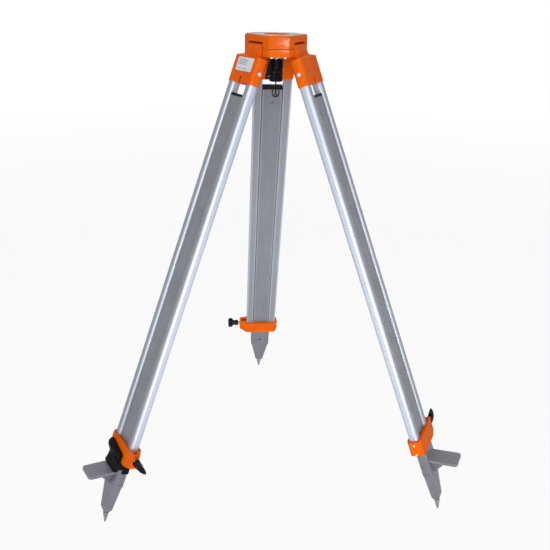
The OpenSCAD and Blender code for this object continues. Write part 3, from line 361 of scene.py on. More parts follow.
# One look for each finish; sockets are the even values set on the shader itself
finishLooks = {
    "orangeCoat": (castFinish, {
        "colours": ((0.92, 0.158, 0.002), (0.85, 0.118, 0.002)), "grain": 1100.0, "drift": 18.0,
        "pitShade": 0.96, "roughness": (0.30, 0.40), "bump": 0.00005, "dust": 0.015,
        "dustColour": (0.70, 0.40, 0.20), "edgeRadius": 0.0014, "edgeAmount": 0.42,
        # the pale edge colour here is a painted highlight along the rounded edges, with some wear
        "edgeColour": (0.98, 0.42, 0.20), "metal": None, "creaseReach": 0.005,
        # the crease colour here is painted shade in seams and slots
        "creaseColour": (0.10, 0.018, 0.004),
        "sockets": {"Specular IOR Level": 0.0, "Coat Weight": 0.14, "Coat Roughness": 0.09}}),
    "castFoot": (castFinish, {
        "colours": ((0.195, 0.200, 0.235), (0.240, 0.245, 0.280)), "grain": 700.0, "drift": 35.0,
        "pitShade": 0.80, "roughness": (0.42, 0.58), "bump": 0.00022, "dust": 0.18,
        "dustColour": (0.38, 0.375, 0.37), "edgeRadius": 0.0014, "edgeAmount": 0.85,
        "edgeColour": (0.62, 0.63, 0.66), "metal": (0.45, 0.8), "creaseReach": 0.010,
        "creaseColour": (0.05, 0.048, 0.05), "sockets": {}}),
    "blackCoat": (castFinish, {
        "colours": ((0.006, 0.006, 0.007), (0.012, 0.012, 0.013)), "grain": 1500.0, "drift": 30.0,
        "pitShade": 0.85, "roughness": (0.28, 0.42), "bump": 0.00006, "dust": 0.03,
        "dustColour": (0.2, 0.2, 0.2), "edgeRadius": 0.0005, "edgeAmount": 0.45,
        "edgeColour": (0.30, 0.30, 0.31), "metal": (0.0, 0.8), "creaseReach": 0.004,
        "creaseColour": (0.002, 0.002, 0.002), "sockets": {"Specular IOR Level": 0.05}}),
    "tubeAlloy": (drawnFinish, {
        "colours": ((0.48, 0.525, 0.64), (0.56, 0.605, 0.72)), "across": 1300.0, "scratches": 0.4,
        "smudge": 0.22, "smudgeColour": (0.50, 0.53, 0.62), "scratchColour": (0.84, 0.87, 0.92),
        # the band colour on the tube's flat faces, across Y, is painted shade
        "brightBand": ("Y", 0.0085, 0.0104), "bandColour": (0.285, 0.295, 0.335), "creaseReach": 0.006,
        "roughness": (0.36, 0.48), "bump": 0.000008, "sockets": {"Metallic": 0.38}}),
    "profileAlloy": (drawnFinish, {
        "colours": ((0.205, 0.215, 0.245), (0.250, 0.260, 0.290)), "across": 1700.0, "scratches": 0.6,
        "smudge": 0.35, "smudgeColour": (0.175, 0.182, 0.205), "scratchColour": (0.42, 0.43, 0.47),
        # the band colour along the profile's lips, across X, is a painted highlight
        "brightBand": ("X", 0.0176, 0.0181), "bandColour": (0.30, 0.31, 0.345), "creaseReach": 0.0032,
        "roughness": (0.38, 0.52), "bump": 0.000015,
        "sockets": {"Metallic": 0.20, "Specular IOR Level": 0.4}}),
    "platedSteel": (turnedFinish, {
        "colours": ((0.66, 0.66, 0.68), (0.52, 0.52, 0.55)), "edgeColour": (0.9, 0.9, 0.9),
        "rings": 900.0, "stain": 240.0, "roughness": (0.20, 0.38), "bump": 0.00002,
        "sockets": {"Metallic": 0.9}}),
    "pointSteel": (turnedFinish, {
        "colours": ((0.36, 0.36, 0.38), (0.22, 0.215, 0.21)), "edgeColour": (0.70, 0.70, 0.70),
        "rings": 700.0, "stain": 130.0, "roughness": (0.28, 0.50), "bump": 0.00005,
        "sockets": {"Metallic": 0.7}}),
    "turnedBrass": (turnedFinish, {
        "colours": ((0.66, 0.44, 0.18), (0.45, 0.29, 0.11)), "edgeColour": (0.90, 0.72, 0.40),
        "rings": 900.0, "stain": 200.0, "roughness": (0.22, 0.40), "bump": 0.00002,
        "sockets": {"Metallic": 0.9}}),
    "glossBlack": (mouldedFinish, {
        "colours": ((0.004, 0.004, 0.005), (0.009, 0.009, 0.011)), "texture": 2600.0,
        "fineShare": 0.15, "scuffs": 0.35, "edgeAmount": 0.25, "edgeColour": (0.09, 0.09, 0.10),
        "dust": 0.012, "roughness": (0.14, 0.26), "bump": 0.00004,
        "sockets": {"Specular IOR Level": 0.0, "Coat Weight": 0.20, "Coat Roughness": 0.07}}),
    "strapRubber": (mouldedFinish, {
        "colours": ((0.004, 0.004, 0.005), (0.009, 0.009, 0.010)), "texture": 1800.0,
        "fineShare": 0.3, "scuffs": 0.4, "edgeAmount": 0.20, "edgeColour": (0.07, 0.07, 0.075),
        "dust": 0.012, "roughness": (0.20, 0.34), "bump": 0.00006,
        "sockets": {"Specular IOR Level": 0.0, "Coat Weight": 0.14, "Coat Roughness": 0.10}}),
    "ruleInk": (mouldedFinish, {
        "colours": ((0.10, 0.11, 0.14), (0.15, 0.16, 0.19)), "texture": 900.0,
        "fineShare": 0.2, "scuffs": 0.5, "edgeAmount": 0.2, "edgeColour": (0.5, 0.5, 0.5),
        "dust": 0.03, "roughness": (0.40, 0.55), "bump": 0.00002, "sockets": {}}),
    "labelFilm": (mouldedFinish, {
        "colours": ((0.80, 0.83, 0.90), (0.73, 0.76, 0.84)), "texture": 900.0,
        "fineShare": 0.2, "scuffs": 0.3, "edgeAmount": 0.4, "edgeColour": (0.55, 0.53, 0.50),
        "dust": 0.03, "roughness": (0.30, 0.45), "bump": 0.00003, "sockets": {}}),
    "machinedFace": (machinedFinish, {
        "colours": ((0.27, 0.255, 0.265), (0.19, 0.178, 0.187)), "ringColour": (0.38, 0.37, 0.39),
        "ringShare": 0.25, "rings": 420.0, "ringWobble": 0.6, "ringDetail": 2.0,
        "wear": 45.0, "wearNoise": (6, 0.65, 0.5), "wearRange": (0.35, 0.7),
        "roughness": (0.28, 0.45), "bump": 0.00003, "sockets": {"Metallic": 0.6}}),
}


def makeFinish(name, build, look):
    material = bpy.data.materials.new(name)
    material.use_nodes = True
    tree = material.node_tree
    shader = tree.nodes["Principled BSDF"]
    for title, value in look["sockets"].items():
        shader.inputs[title].default_value = value
    place = addNode(tree, "ShaderNodeAttribute", attribute_name="place").outputs["Vector"]
    made = build(tree, place, look)
    bump = addNode(tree, "ShaderNodeBump", {"Height": made.pop("Height"), "Distance": look["bump"]})
    made["Normal"] = bump.outputs["Normal"]
    for title, socket in made.items():
        tree.links.new(socket, shader.inputs[title])
    return material


finishes = {name: makeFinish(name, build, look) for name, (build, look) in finishLooks.items()}
print("finishes made:", len(finishes))


def localBox(nodeName, place):
    # Lowest and highest corner of a node, along the axes of a place
    inverse = place.inverted() @ nodes[nodeName].matrix_world
    points = [inverse @ v.co for v in nodes[nodeName].data.vertices]
    return [Vector([pick(p[k] for p in points) for k in range(3)]) for pick in (min, max)]


def makeLegPlace(number):
    # X across the leg, Y outward, Z up along the leg, origin in the plane of the tubes
    hinge = joints[f"leg_hinge_{number}"]
    across = Vector(hinge["axis"]).normalized()
    up = -Vector(joints[f"leg_slide_{number}"]["axis"]).normalized()
    outward = up.cross(across)
    pin = Vector(hinge["pos_m"])
    place = Matrix((across, outward, up)).transposed().to_4x4()
    place.translation = pin
    low, high = localBox(f"tube_left_{number}", place)
    place.translation = pin + outward * (low.y + high.y) / 2
    return place


legPlaces = {number: makeLegPlace(number) for number in legNumbers}
levelPlace = Matrix.Identity(4)

# Distances in metres, angles in degrees
meshRules = {
    "merge": 3e-6, "degenerate": 2e-6, "flatAngle": 1.2, "sharpAngle": 35, "roundSegments": 2,
    "smoothAngle": 38, "normalWeight": 80,
}


def nodeMesh(nodeName, place):
    # The CAD's own shape, moved to the axes of a place
    shape = bmesh.new()
    shape.from_mesh(nodes[nodeName].data)
    shape.transform(place.inverted() @ nodes[nodeName].matrix_world)
    bmesh.ops.remove_doubles(shape, verts=shape.verts, dist=meshRules["merge"])
    bmesh.ops.dissolve_degenerate(shape, dist=meshRules["degenerate"], edges=shape.edges)
    return shape


def roundEdges(shape, width):
    # Makes the flat faces whole, then rounds the sharp edges between them
    bmesh.ops.dissolve_limit(shape, angle_limit=math.radians(meshRules["flatAngle"]),
                             verts=shape.verts, edges=shape.edges)
    limit = math.radians(meshRules["sharpAngle"])
    sharp = [e for e in shape.edges if len(e.link_faces) == 2 and e.calc_face_angle() > limit]
    bmesh.ops.bevel(shape, geom=sharp, offset=width, offset_type="OFFSET",
                    segments=meshRules["roundSegments"], profile=0.5, affect="EDGES",
                    clamp_overlap=True, loop_slide=True, material=-1)


def pieceName(nodeName):
    # A piece has its node's name in one word: leg_clamp_2 becomes legClamp2
    first, *others = nodeName.split("_")
    return first + "".join(word.capitalize() for word in others)


def addPiece(nodeName, shape, place, body, finish, smoothAngle=meshRules["smoothAngle"]):
    # Finish is one name, or a list in the order of the faces' material numbers
    name = pieceName(nodeName)
    mesh = bpy.data.meshes.new(name)
    bmesh.ops.triangulate(shape, faces=[f for f in shape.faces if len(f.verts) > 4])
    shape.to_mesh(mesh)
    shape.free()
    # the finishes follow the leg's own axes, so each point keeps its place there
    own = mesh.attributes.new("place", "FLOAT_VECTOR", "POINT")
    points = [0.0] * (3 * len(mesh.vertices))
    mesh.vertices.foreach_get("co", points)
    own.data.foreach_set("vector", points)
    mesh.transform(place)
    mesh.update()
    for one in (finish if isinstance(finish, list) else [finish]):
        mesh.materials.append(finishes[one])
    mesh.polygons.foreach_set("use_smooth", [True] * len(mesh.polygons))
    mesh.set_sharp_from_angle(angle=math.radians(smoothAngle))
    piece = bpy.data.objects.new(name, mesh)
    bpy.context.scene.collection.objects.link(piece)
    # large flat faces keep their own direction, so the rounding beside them doesn't pillow them
    even = piece.modifiers.new("evenNormals", "WEIGHTED_NORMAL")
    even.keep_sharp, even.weight = True, meshRules["normalWeight"]
    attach(piece, body)
    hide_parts(nodeName)


def addRounded(nodeName, place, body, finish, edge):
    # A piece with the CAD's own shape and rounded edges, or left as it is where edge is 0
    shape = nodeMesh(nodeName, place)
    if edge:
        roundEdges(shape, edge)
    addPiece(nodeName, shape, place, body, finish)


def loft(rings, closed=False):
    # Skins rings of equal vertex count; a closed loft joins its last ring to its first
    shape = bmesh.new()
    made = [[shape.verts.new(p) for p in ring] for ring in rings]
    count = len(rings[0])
    for lower, upper in zip(made, made[1:] + made[:1] if closed else made[1:]):
        for k in range(count):
            shape.faces.new((lower[k], lower[(k + 1) % count], upper[(k + 1) % count], upper[k]))
    if not closed:
        shape.faces.new(list(reversed(made[0])))
        shape.faces.new(made[-1])
    return shape


def polarRing(radiusAt, height, count):
    # A level ring; radiusAt gives the radius for an angle
    ring = []
    for k in range(count):
        angle = 2 * math.pi * k / count
        radius = radiusAt(angle)
        ring.append(Vector((radius * math.cos(angle), radius * math.sin(angle), height)))
    return ring


def circleRing(radius, height, count):
    return polarRing(lambda angle: radius, height, count)


def superRing(halfX, halfY, height, power, count):
    # An ellipse at power 2, squarer above it and more pointed below it
    ring = []
    for k in range(count):
        c, s = math.cos(2 * math.pi * k / count), math.sin(2 * math.pi * k / count)
        ring.append(Vector((halfX * math.copysign(abs(c) ** (2 / power), c),
                            halfY * math.copysign(abs(s) ** (2 / power), s), height)))
    return ring


def lathe(profile, count):
    # Profile is a list of (radius, height) from the bottom to the top
    return loft([circleRing(radius, height, count) for radius, height in profile])


def plainRod(radius, low, high, count=20):
    return lathe([(radius, low), (radius, high)], count)


def joinShapes(first, second, place=None):
    if place is not None:
        second.transform(place)
    mesh = bpy.data.meshes.new("scratch")
    second.to_mesh(mesh)
    second.free()
    first.from_mesh(mesh)
    bpy.data.meshes.remove(mesh)


def sideTurn(toward):
    # Turns a shape that was made along Z so that it points along the leg's X axis
    return Matrix.Rotation(math.radians(90 * toward), 4, "Y")


threadForm = {"flank": 1.25, "runOut": 0.6}  # steepness of the flanks, depth left at the ends


def threadedRod(radius, pitch, depth, low, high, count=28, steps=6):
    # A true helical thread that fades out at both ends; steps are the rings in a turn
    rings = []
    for k in range(int((high - low) / pitch * steps) + 1):
        height = low + pitch * k / steps
        fade = min(1.0, (height - low) / pitch, (high - height) / pitch)
        outer = radius - depth * threadForm["runOut"] * max(0.0, 1 - 2 * fade)

        def flankAt(angle):
            phase = ((height - low) / pitch - angle / (2 * math.pi)) % 1.0
            groove = min(1.0, abs(2 * phase - 1) * threadForm["flank"])
            return outer - depth * (1 - groove) * max(0.0, fade)

        rings.append(polarRing(flankAt, height, count))
    return loft(rings)


# Shares of the head's radius and height; the socket's are shares of its own size and depth
domeForm = {
    "foot": 0.97, "shoulder": 0.25, "roundness": 0.75, "steps": 5, "stepAngle": 15, "tip": 0.05, "count": 24,
    "socketMouth": 1.12, "mouthDepth": 0.0002, "socketFloor": 0.3, "floorDepth": 1.2,
}


def domeHead(radius, height, hexSize, pocket):
    # Domed screw or rivet head, with a hexagon socket unless hexSize is 0
    form, count = domeForm, domeForm["count"]
    rings = [circleRing(radius * form["foot"], 0, count)]
    for k in range(1, form["steps"] + 1):
        a = math.radians(form["stepAngle"] * k)
        level = height * (form["shoulder"] + (1 - form["shoulder"]) * math.sin(a))
        rings.append(circleRing(radius * math.cos(a) ** form["roundness"], level, count))
    if not hexSize:
        return loft(rings + [circleRing(radius * form["tip"], height, count)])
    for share, level in ((form["socketMouth"], height), (1.0, height - form["mouthDepth"]),
                         (1.0, height - pocket), (form["socketFloor"], height - pocket * form["floorDepth"])):
        rings.append(polarRing(lambda angle: hexSize * share * math.cos(math.pi / 6)
                               / math.cos((angle % (math.pi / 3)) - math.pi / 6), level, count))
    return loft(rings)


# Head casting and bearing caps; the casting's faces that look up near its top are machined bare
headLook = {"edge": 0.0011, "capEdge": 0.0009, "topTolerance": 0.0003, "upward": 0.9}
shape = nodeMesh("head_casting", levelPlace)
roundEdges(shape, headLook["edge"])
for face in shape.faces:
    if face.calc_center_median().z > -headLook["topTolerance"] and face.normal.z > headLook["upward"]:
        face.material_index = 1
addPiece("head_casting", shape, levelPlace, "head", ["orangeCoat", "machinedFace"])
for number in legNumbers:
    addRounded(f"bearing_cap_{number}", levelPlace, "head", "orangeCoat", headLook["capEdge"])
print("head castings made")

# Castings, tubes and feet of a leg: body, finish, slot and width of the rounded edge
legLook = {
    "shoulder_bracket": ("upper_leg", "orangeCoat", "orange_casting", 0.0014),
    "leg_clamp": ("upper_leg", "orangeCoat", "orange_casting", 0.0012),
    "tube_left": ("upper_leg", "tubeAlloy", "tube_alloy", 0),
    "tube_right": ("upper_leg", "tubeAlloy", "tube_alloy", 0),
    "inner_profile": ("lower_leg", "profileAlloy", "profile_alloy", 0),
    "end_cap": ("lower_leg", "glossBlack", "black_plastic", 0.0008),
    "foot": ("lower_leg", "castFoot", "cast_grey", 0.0012),
    "foot_point": ("lower_leg", "pointSteel", "steel", 0.0003),
}
for number in legNumbers:
    for base, (body, finish, slotName, edge) in legLook.items():
        addRounded(f"{base}_{number}", legPlaces[number], f"{body}_{number}", finish, edge)
print("leg castings and tubes made")

# Domed screws that hold the tubes, and rivets whose heads stand on the clamp's plain side
screwLook = {"head": 0.0026, "socket": 0.0018, "socketDepth": 0.0013, "shank": 0.0024, "length": 0.006,
             "overlap": 0.0002}
rivetLook = {"head": 0.003, "socket": 0, "socketDepth": 0, "shank": 0.00195, "length": 0.0045,
             "overlap": 0.0002}
padLook = {"edge": 0.0003}


def addFastener(shape, look, radius, place):
    # A domed head with its shank, which reaches a little way into the head
    joinShapes(shape, domeHead(radius, look["head"], look["socket"], look["socketDepth"]), place)
    joinShapes(shape, plainRod(look["shank"], -look["length"], look["overlap"]), place)


# Wing screw: its shank, the hub of its grip as (share of the radius, height), and the two wings
wingLook = {
    "pitch": 0.00125, "threadDepth": 0.0007, "threadStart": 0.0022, "core": 0.001, "coreEnd": 0.0024,
    "hubRadius": 0.0083, "hub": 0.0155, "hubCount": 48,
    "hubRows": ((0.90, 0), (1.0, 0.0006), (1.0, 0.0022), (0.93, 0.0030), (0.90, 0.0093), (0.86, 0.0175)),
    "span": 0.020, "thick": 0.006, "wing": 0.0140, "sunk": 0.001, "lensPower": 1.55, "count": 64, "rings": 15,
    "endSpan": 0.55, "endThick": 0.45, "endPower": 5, "endLeast": 0.02, "shoulder": 0.86, "shoulderRise": 1.1,
    "dip": 0.0022, "dipStart": 0.55, "dipWidth": 0.62,
    "restTurns": {1: 0, 2: 52, 3: 13},  # degrees, one for each leg
}


def wingGripShape(look):
    # Hub with a flared foot, then two rounded wings with a lens section and a dip between them
    shape = lathe([(look["hubRadius"] * share, height) for share, height in look["hubRows"]], look["hubCount"])
    rings = []
    for k in range(look["rings"]):
        t = k / (look["rings"] - 1)
        swell = max((1 - abs(2 * t - 1) ** look["endPower"]) ** 0.5, look["endLeast"])
        halfX = look["span"] * (look["endSpan"] + (1 - look["endSpan"]) * swell)
        rise = math.sin(math.pi * min(1, t * look["shoulderRise"]))
        halfX *= look["shoulder"] + (1 - look["shoulder"]) * rise
        halfY = look["thick"] * (look["endThick"] + (1 - look["endThick"]) * swell)
        height = look["hub"] - look["sunk"] + (look["wing"] + look["sunk"]) * t
        ring = superRing(halfX, halfY, height, look["lensPower"], look["count"])
        if t > look["dipStart"]:  # the end face dips in the middle
            depth = look["dip"] * (t - look["dipStart"]) / (1 - look["dipStart"])
            for p in ring:
                p.z -= depth * max(0.0, 1 - (abs(p.x) / (look["span"] * look["dipWidth"])) ** 2)
        rings.append(ring)
    joinShapes(shape, loft(rings))
    return shape


for number in legNumbers:
    place = legPlaces[number]
    upper, wing = f"upper_leg_{number}", f"wing_screw_{number}"
    low, high = localBox(f"tube_screws_{number}", place)
    middle, half = (low + high) / 2, (high - low) / 2
    shape = bmesh.new()
    for side in (-1, 1):
        spot = Matrix.Translation((side * (half.x - screwLook["head"]), middle.y, middle.z)) @ sideTurn(side)
        addFastener(shape, screwLook, half.z, spot)
    addPiece(f"tube_screws_{number}", shape, place, upper, "platedSteel")

    low, high = localBox(f"clamp_rivets_{number}", place)
    radius = (high.y - low.y) / 2
    shape = bmesh.new()
    for z in (low.z + radius, high.z - radius):
        spot = Matrix.Translation((high.x - rivetLook["head"], 0, z)) @ sideTurn(1)
        addFastener(shape, rivetLook, radius, spot)
    addPiece(f"clamp_rivets_{number}", shape, place, upper, "turnedBrass")

    addRounded(f"thrust_pad_{number}", place, f"thrust_pad_{number}", "platedSteel",
               padLook["edge"])

    low, high = localBox(f"wing_stud_{number}", place)
    centre, radius = (low + high) / 2, (high.z - low.z) / 2
    shape = threadedRod(radius, wingLook["pitch"], wingLook["threadDepth"], wingLook["threadStart"],
                        high.x - low.x)
    joinShapes(shape, plainRod(radius - wingLook["core"], 0, wingLook["coreEnd"]))
    shape.transform(Matrix.Translation((high.x, centre.y, centre.z)) @ sideTurn(-1))
    addPiece(f"wing_stud_{number}", shape, place, wing, "platedSteel")

    high = localBox(f"wing_grip_{number}", place)[1]
    shape = wingGripShape(wingLook)
    turn = Matrix.Rotation(math.radians(wingLook["restTurns"][number]), 4, "Z")
    shape.transform(Matrix.Translation((high.x, centre.y, centre.z)) @ sideTurn(-1) @ turn)
    addPiece(f"wing_grip_{number}", shape, place, wing, "glossBlack")
print("screws and wing grips made")

# Knob of the fixing screw; foot and upper are rows of its outline, each with a radius, the edge
# widths inside it, a level, the edge widths above that, and the share of the flutes' depth
knobLook = {
    "collar": 0.0140, "body": 0.0134, "waist": 0.0120, "split": 0.54, "edge": 0.0012, "count": 96,
    "flutes": 12, "fluteDepth": 0.0010, "fluteSteps": 10, "fluteStart": 1.6, "fluteShort": 3.4,
    "foot": (("body", 1.6, "bottom", 0, 0), ("body", 0.4, "bottom", 0.5, 0), ("body", 0, "bottom", 1.6, 0.2)),
    "upper": (("body", 0, "split", -1.4, 0.2), ("body", 0.5, "split", -0.6, 0), ("waist", 0, "split", -0.2, 0),
              ("waist", 0, "split", 0.3, 0), ("collar", 0.5, "split", 0.8, 0), ("collar", 0, "split", 1.8, 0),
              ("collar", 0, "top", -1.6, 0), ("collar", 0.4, "top", -0.5, 0), ("collar", 1.5, "top", 0, 0)),
}


def knobShape(look, low, high):
    # Collar above, fluted body below, and a groove between them
    edge = look["edge"]
    levels = {"bottom": low.z, "split": low.z + (high.z - low.z) * look["split"], "top": high.z}

    def stations(rows):
        return [(look[radius] - edge * inside, levels[level] + edge * above, share)
                for radius, inside, level, above, share in rows]

    start = levels["bottom"] + edge * look["fluteStart"]
    run = levels["split"] - levels["bottom"] - edge * look["fluteShort"]
    fluted = [(look["body"], start + run * k / look["fluteSteps"], 1) for k in range(1, look["fluteSteps"])]

    def flutesAt(angle):
        return look["fluteDepth"] * (0.5 - 0.5 * math.cos(angle * look["flutes"])) ** 2

    return loft([polarRing(lambda angle: radius - share * flutesAt(angle), height, look["count"])
                 for radius, height, share in stations(look["foot"]) + fluted + stations(look["upper"])])


# Paddle of the knob; the trim and the thinning round off its foot, each with the rise at which it ends
paddleLook = {
    "thick": 0.0035, "foot": 0.0045, "head": 0.0035, "inset": 0.0008, "rings": 13, "count": 48,
    "cornerPower": 4.5, "flare": 1.02, "flarePower": 0.95,
    "trim": 0.06, "trimRise": 9, "thinning": 0.35, "thinningRise": 6,
}


def paddleShape(look, low, high):
    # A rounded plate on the knob's -X side that widens downward
    bottom, top = low.z + look["foot"], high.z - look["head"]
    narrow, wide = knobLook["collar"] - look["inset"], -low.x
    rings = []
    for k in range(look["rings"]):
        t = k / (look["rings"] - 1)
        width = narrow + (wide - narrow) * min(1.0, (1 - t) * look["flare"]) ** look["flarePower"]
        width *= 1 - look["trim"] * max(0.0, 1 - t * look["trimRise"])
        thick = look["thick"] * (1 - look["thinning"] * max(0.0, 1 - t * look["thinningRise"]) ** 2)
        ring = superRing(width / 2, thick, bottom + (top - bottom) * t, look["cornerPower"], look["count"])
        rings.append([Vector((p.x - width / 2, p.y, p.z)) for p in ring])
    return loft(rings)


low, high = localBox("fixing_knob", levelPlace)
shape = knobShape(knobLook, low, high)
joinShapes(shape, paddleShape(paddleLook, low, high))
addPiece("fixing_knob", shape, levelPlace, "fixing_screw", "glossBlack")

# Threaded stud, its plain shank, and a washer on the knob
studLook = {
    "radius": 0.00794, "pitch": 0.002309, "depth": 0.0013, "threadStart": 0.0003, "count": 40, "steps": 8,
    "shank": 0.007, "shankEnd": 0.0008, "washer": 0.011, "washerThick": 0.0016, "washerEdge": 0.0003,
    "washerCount": 48,
}
low, high = localBox("fixing_stud", levelPlace)
knobTop = localBox("fixing_knob", levelPlace)[1].z
ringTop = localBox("retaining_ring", levelPlace)[1].z
shape = threadedRod(studLook["radius"], studLook["pitch"], studLook["depth"],
                    ringTop + studLook["threadStart"], high.z, studLook["count"], studLook["steps"])
joinShapes(shape, plainRod(studLook["shank"], low.z, ringTop + studLook["shankEnd"], studLook["count"]))
outer, inner = studLook["washer"], studLook["washer"] - studLook["washerEdge"]
washerTop = knobTop + studLook["washerThick"]
joinShapes(shape, lathe([(inner, knobTop), (outer, knobTop + studLook["washerEdge"]),
                         (outer, washerTop - studLook["washerEdge"]), (inner, washerTop)],
                        studLook["washerCount"]))
addPiece("fixing_stud", shape, levelPlace, "fixing_screw", "platedSteel")

# Plumb hook: the wire's radii and bends, the points along each part, and the taper of the prong's end
hookLook = {
    "stem": 0.0013, "wire": 0.00115, "eye": 0.0026, "arc": 0.0066, "prong": 0.0100, "count": 16,
    "stemSteps": 12, "eyeSteps": 32, "arcSteps": 10, "prongSteps": 8, "taper": (0.95, 0.85, 0.7, 0.45),
    "smoothAngle": 50,
}


def sweptWire(points, radii, closed=False):
    # A round wire along points that lie in the plane of X and Z
    last, count = len(points) - 1, hookLook["count"]
    rings, side = [], Vector((0, 1, 0))
    for k, point in enumerate(points):
        before = points[k - 1] if closed else points[max(k - 1, 0)]
        after = points[(k + 1) % len(points)] if closed else points[min(k + 1, last)]
        other = (after - before).normalized().cross(side)
        rings.append([point + (side * math.cos(a) + other * math.sin(a)) * radii[k]
                      for a in [2 * math.pi * n / count for n in range(count)]])
    shape = loft(rings, closed)
    bmesh.ops.recalc_face_normals(shape, faces=shape.faces)
    return shape


def hookShape(look, low, high):
    # Stem with an eye at its end, and two prongs that rise from a round bow
    wire, arc, eye = look["wire"], look["arc"], look["eye"]
    eyeCentre = low.z + wire + eye
    bowCentre = eyeCentre - eye + arc
    drop = high.z - eyeCentre - eye
    stem = [Vector((0, 0, high.z - drop * k / look["stemSteps"])) for k in range(look["stemSteps"] + 1)]
    shape = sweptWire(stem, [look["stem"]] * len(stem))
    ring = [Vector((eye * math.cos(a), 0, eyeCentre + eye * math.sin(a)))
            for a in [2 * math.pi * k / look["eyeSteps"] for k in range(look["eyeSteps"])]]
    joinShapes(shape, sweptWire(ring, [wire] * len(ring), True))
    for side in (-1, 1):
        bow = [Vector((side * arc * math.sin(a), 0, bowCentre - arc * math.cos(a)))
               for a in [math.radians(90 * k / look["arcSteps"]) for k in range(look["arcSteps"] + 1)]]
        bow += [Vector((side * arc, 0, bowCentre + look["prong"] * k / look["prongSteps"]))
                for k in range(1, look["prongSteps"] + 1)]
        radii = [wire] * (len(bow) - len(look["taper"])) + [wire * share for share in look["taper"]]
        joinShapes(shape, sweptWire(bow, radii))
    return shape


low, high = localBox("plumb_hook", levelPlace)
addPiece("plumb_hook", hookShape(hookLook, low, high), levelPlace, "plumb_hook", "blackCoat",
         hookLook["smoothAngle"])

# Small parts of the CAD's own shape: body, finish, slot and width of the rounded edge
smallLook = {
    "swing_arm": ("swing_arm", "blackCoat", "black_steel", 0.0005),
    "screw_bush": ("screw_bush", "turnedBrass", "brass", 0.0003),
    "retaining_ring": ("retaining_ring", "platedSteel", "steel", 0.0003),
    "arm_pivot": ("head", "platedSteel", "steel", 0.0004),
}
for number in legNumbers:
    for base in ("cap_screws", "hinge_pin"):
        smallLook[f"{base}_{number}"] = ("head", "platedSteel", "steel", 0.0003)
for nodeName, (body, finish, slotName, edge) in smallLook.items():
    addRounded(nodeName, levelPlace, body, finish, edge)
print("parts under the head made")

# Blank label on leg 2, with the ruled rows of its form: across and up from its centre, and width
labelLook = {
    "corner": 0.0020, "cornerSteps": 6, "rowHeight": 0.0009, "rowSteps": 3, "ink": 0.00012,
    "rows": ((0.0075, 0.0085, 0.030), (0.0075, 0.0055, 0.030), (0.0075, 0.0025, 0.030),
             (0.0075, -0.0005, 0.030), (0.016, -0.0085, 0.014), (-0.003, -0.0085, 0.016)),
}
frontPlace = legPlaces[2]


def roundedSheet(halfX, halfZ, corner, back, front, steps):
    outline = []
    for signX, signZ, start in ((1, 1, 0), (-1, 1, 90), (-1, -1, 180), (1, -1, 270)):
        for k in range(steps + 1):
            a = math.radians(start + 90 * k / steps)
            outline.append((signX * (halfX - corner) + corner * math.cos(a),
                            signZ * (halfZ - corner) + corner * math.sin(a)))
    shape = loft([[Vector((x, y, z)) for x, z in outline] for y in (back, front)])
    bmesh.ops.recalc_face_normals(shape, faces=shape.faces)
    return shape


low, high = localBox("blank_label", frontPlace)
centre, half = (low + high) / 2, (high - low) / 2
shape = roundedSheet(half.x, half.z, labelLook["corner"], low.y, high.y, labelLook["cornerSteps"])
halfRow = labelLook["rowHeight"] / 2
for across, up, width in labelLook["rows"]:
    row = roundedSheet(width / 2, halfRow, halfRow / 2, high.y - half.y, high.y + labelLook["ink"],
                       labelLook["rowSteps"])
    for face in row.faces:
        face.material_index = 1
    joinShapes(shape, row, Matrix.Translation((across, 0, up)))
shape.transform(Matrix.Translation((centre.x, 0, centre.z)))
addPiece("blank_label", shape, frontPlace, "upper_leg_2", ["labelFilm", "ruleInk"])

# Closing strap on leg 2; its flap is what stands further out than flapStart
strapLook = {
    "voxel": 0.0011, "smoothSteps": 4, "smoothShare": 0.5, "flapStart": 0.0150, "halfWidth": 0.028,
    "lean": 0.010, "leanRise": 1.4, "crown": 0.0012, "crownStart": 0.004, "smoothAngle": 60,
}


def remeshed(shape, look):
    # One even skin over the whole moulding, with every edge rounded
    mesh = bpy.data.meshes.new("scratch")
    shape.to_mesh(mesh)
    shape.free()
    holder = bpy.data.objects.new("scratch", mesh)
    bpy.context.scene.collection.objects.link(holder)
    modifier = holder.modifiers.new("skin", "REMESH")
    modifier.mode, modifier.voxel_size = "VOXEL", look["voxel"]
    made = bmesh.new()
    made.from_mesh(holder.evaluated_get(bpy.context.evaluated_depsgraph_get()).to_mesh())
    bpy.data.objects.remove(holder)
    bpy.data.meshes.remove(mesh)
    for step in range(look["smoothSteps"]):
        bmesh.ops.smooth_vert(made, verts=made.verts, factor=look["smoothShare"],
                              use_axis_x=True, use_axis_y=True, use_axis_z=True)
    return made


shape = remeshed(nodeMesh("closing_strap", frontPlace), strapLook)
flapTop = max(v.co.z for v in shape.verts)
flapFoot = localBox("leg_clamp_2", frontPlace)[0].z
for v in shape.verts:
    if v.co.y > strapLook["flapStart"]:
        side = v.co.x / strapLook["halfWidth"]
        share = (v.co.z - flapFoot) / (flapTop - flapFoot)
        if share > 0:  # the rolled top leans down to the near side
            v.co.z -= strapLook["lean"] * min(1.0, share * strapLook["leanRise"]) * (1 - side) / 2
        # the flap is slightly crowned across
        rise = min(1.0, (v.co.y - strapLook["flapStart"]) / strapLook["crownStart"])
        v.co.y -= strapLook["crown"] * side * side * rise
addPiece("closing_strap", shape, frontPlace, "lower_leg_2", "strapRubber",
         strapLook["smoothAngle"])
print("label and strap made")

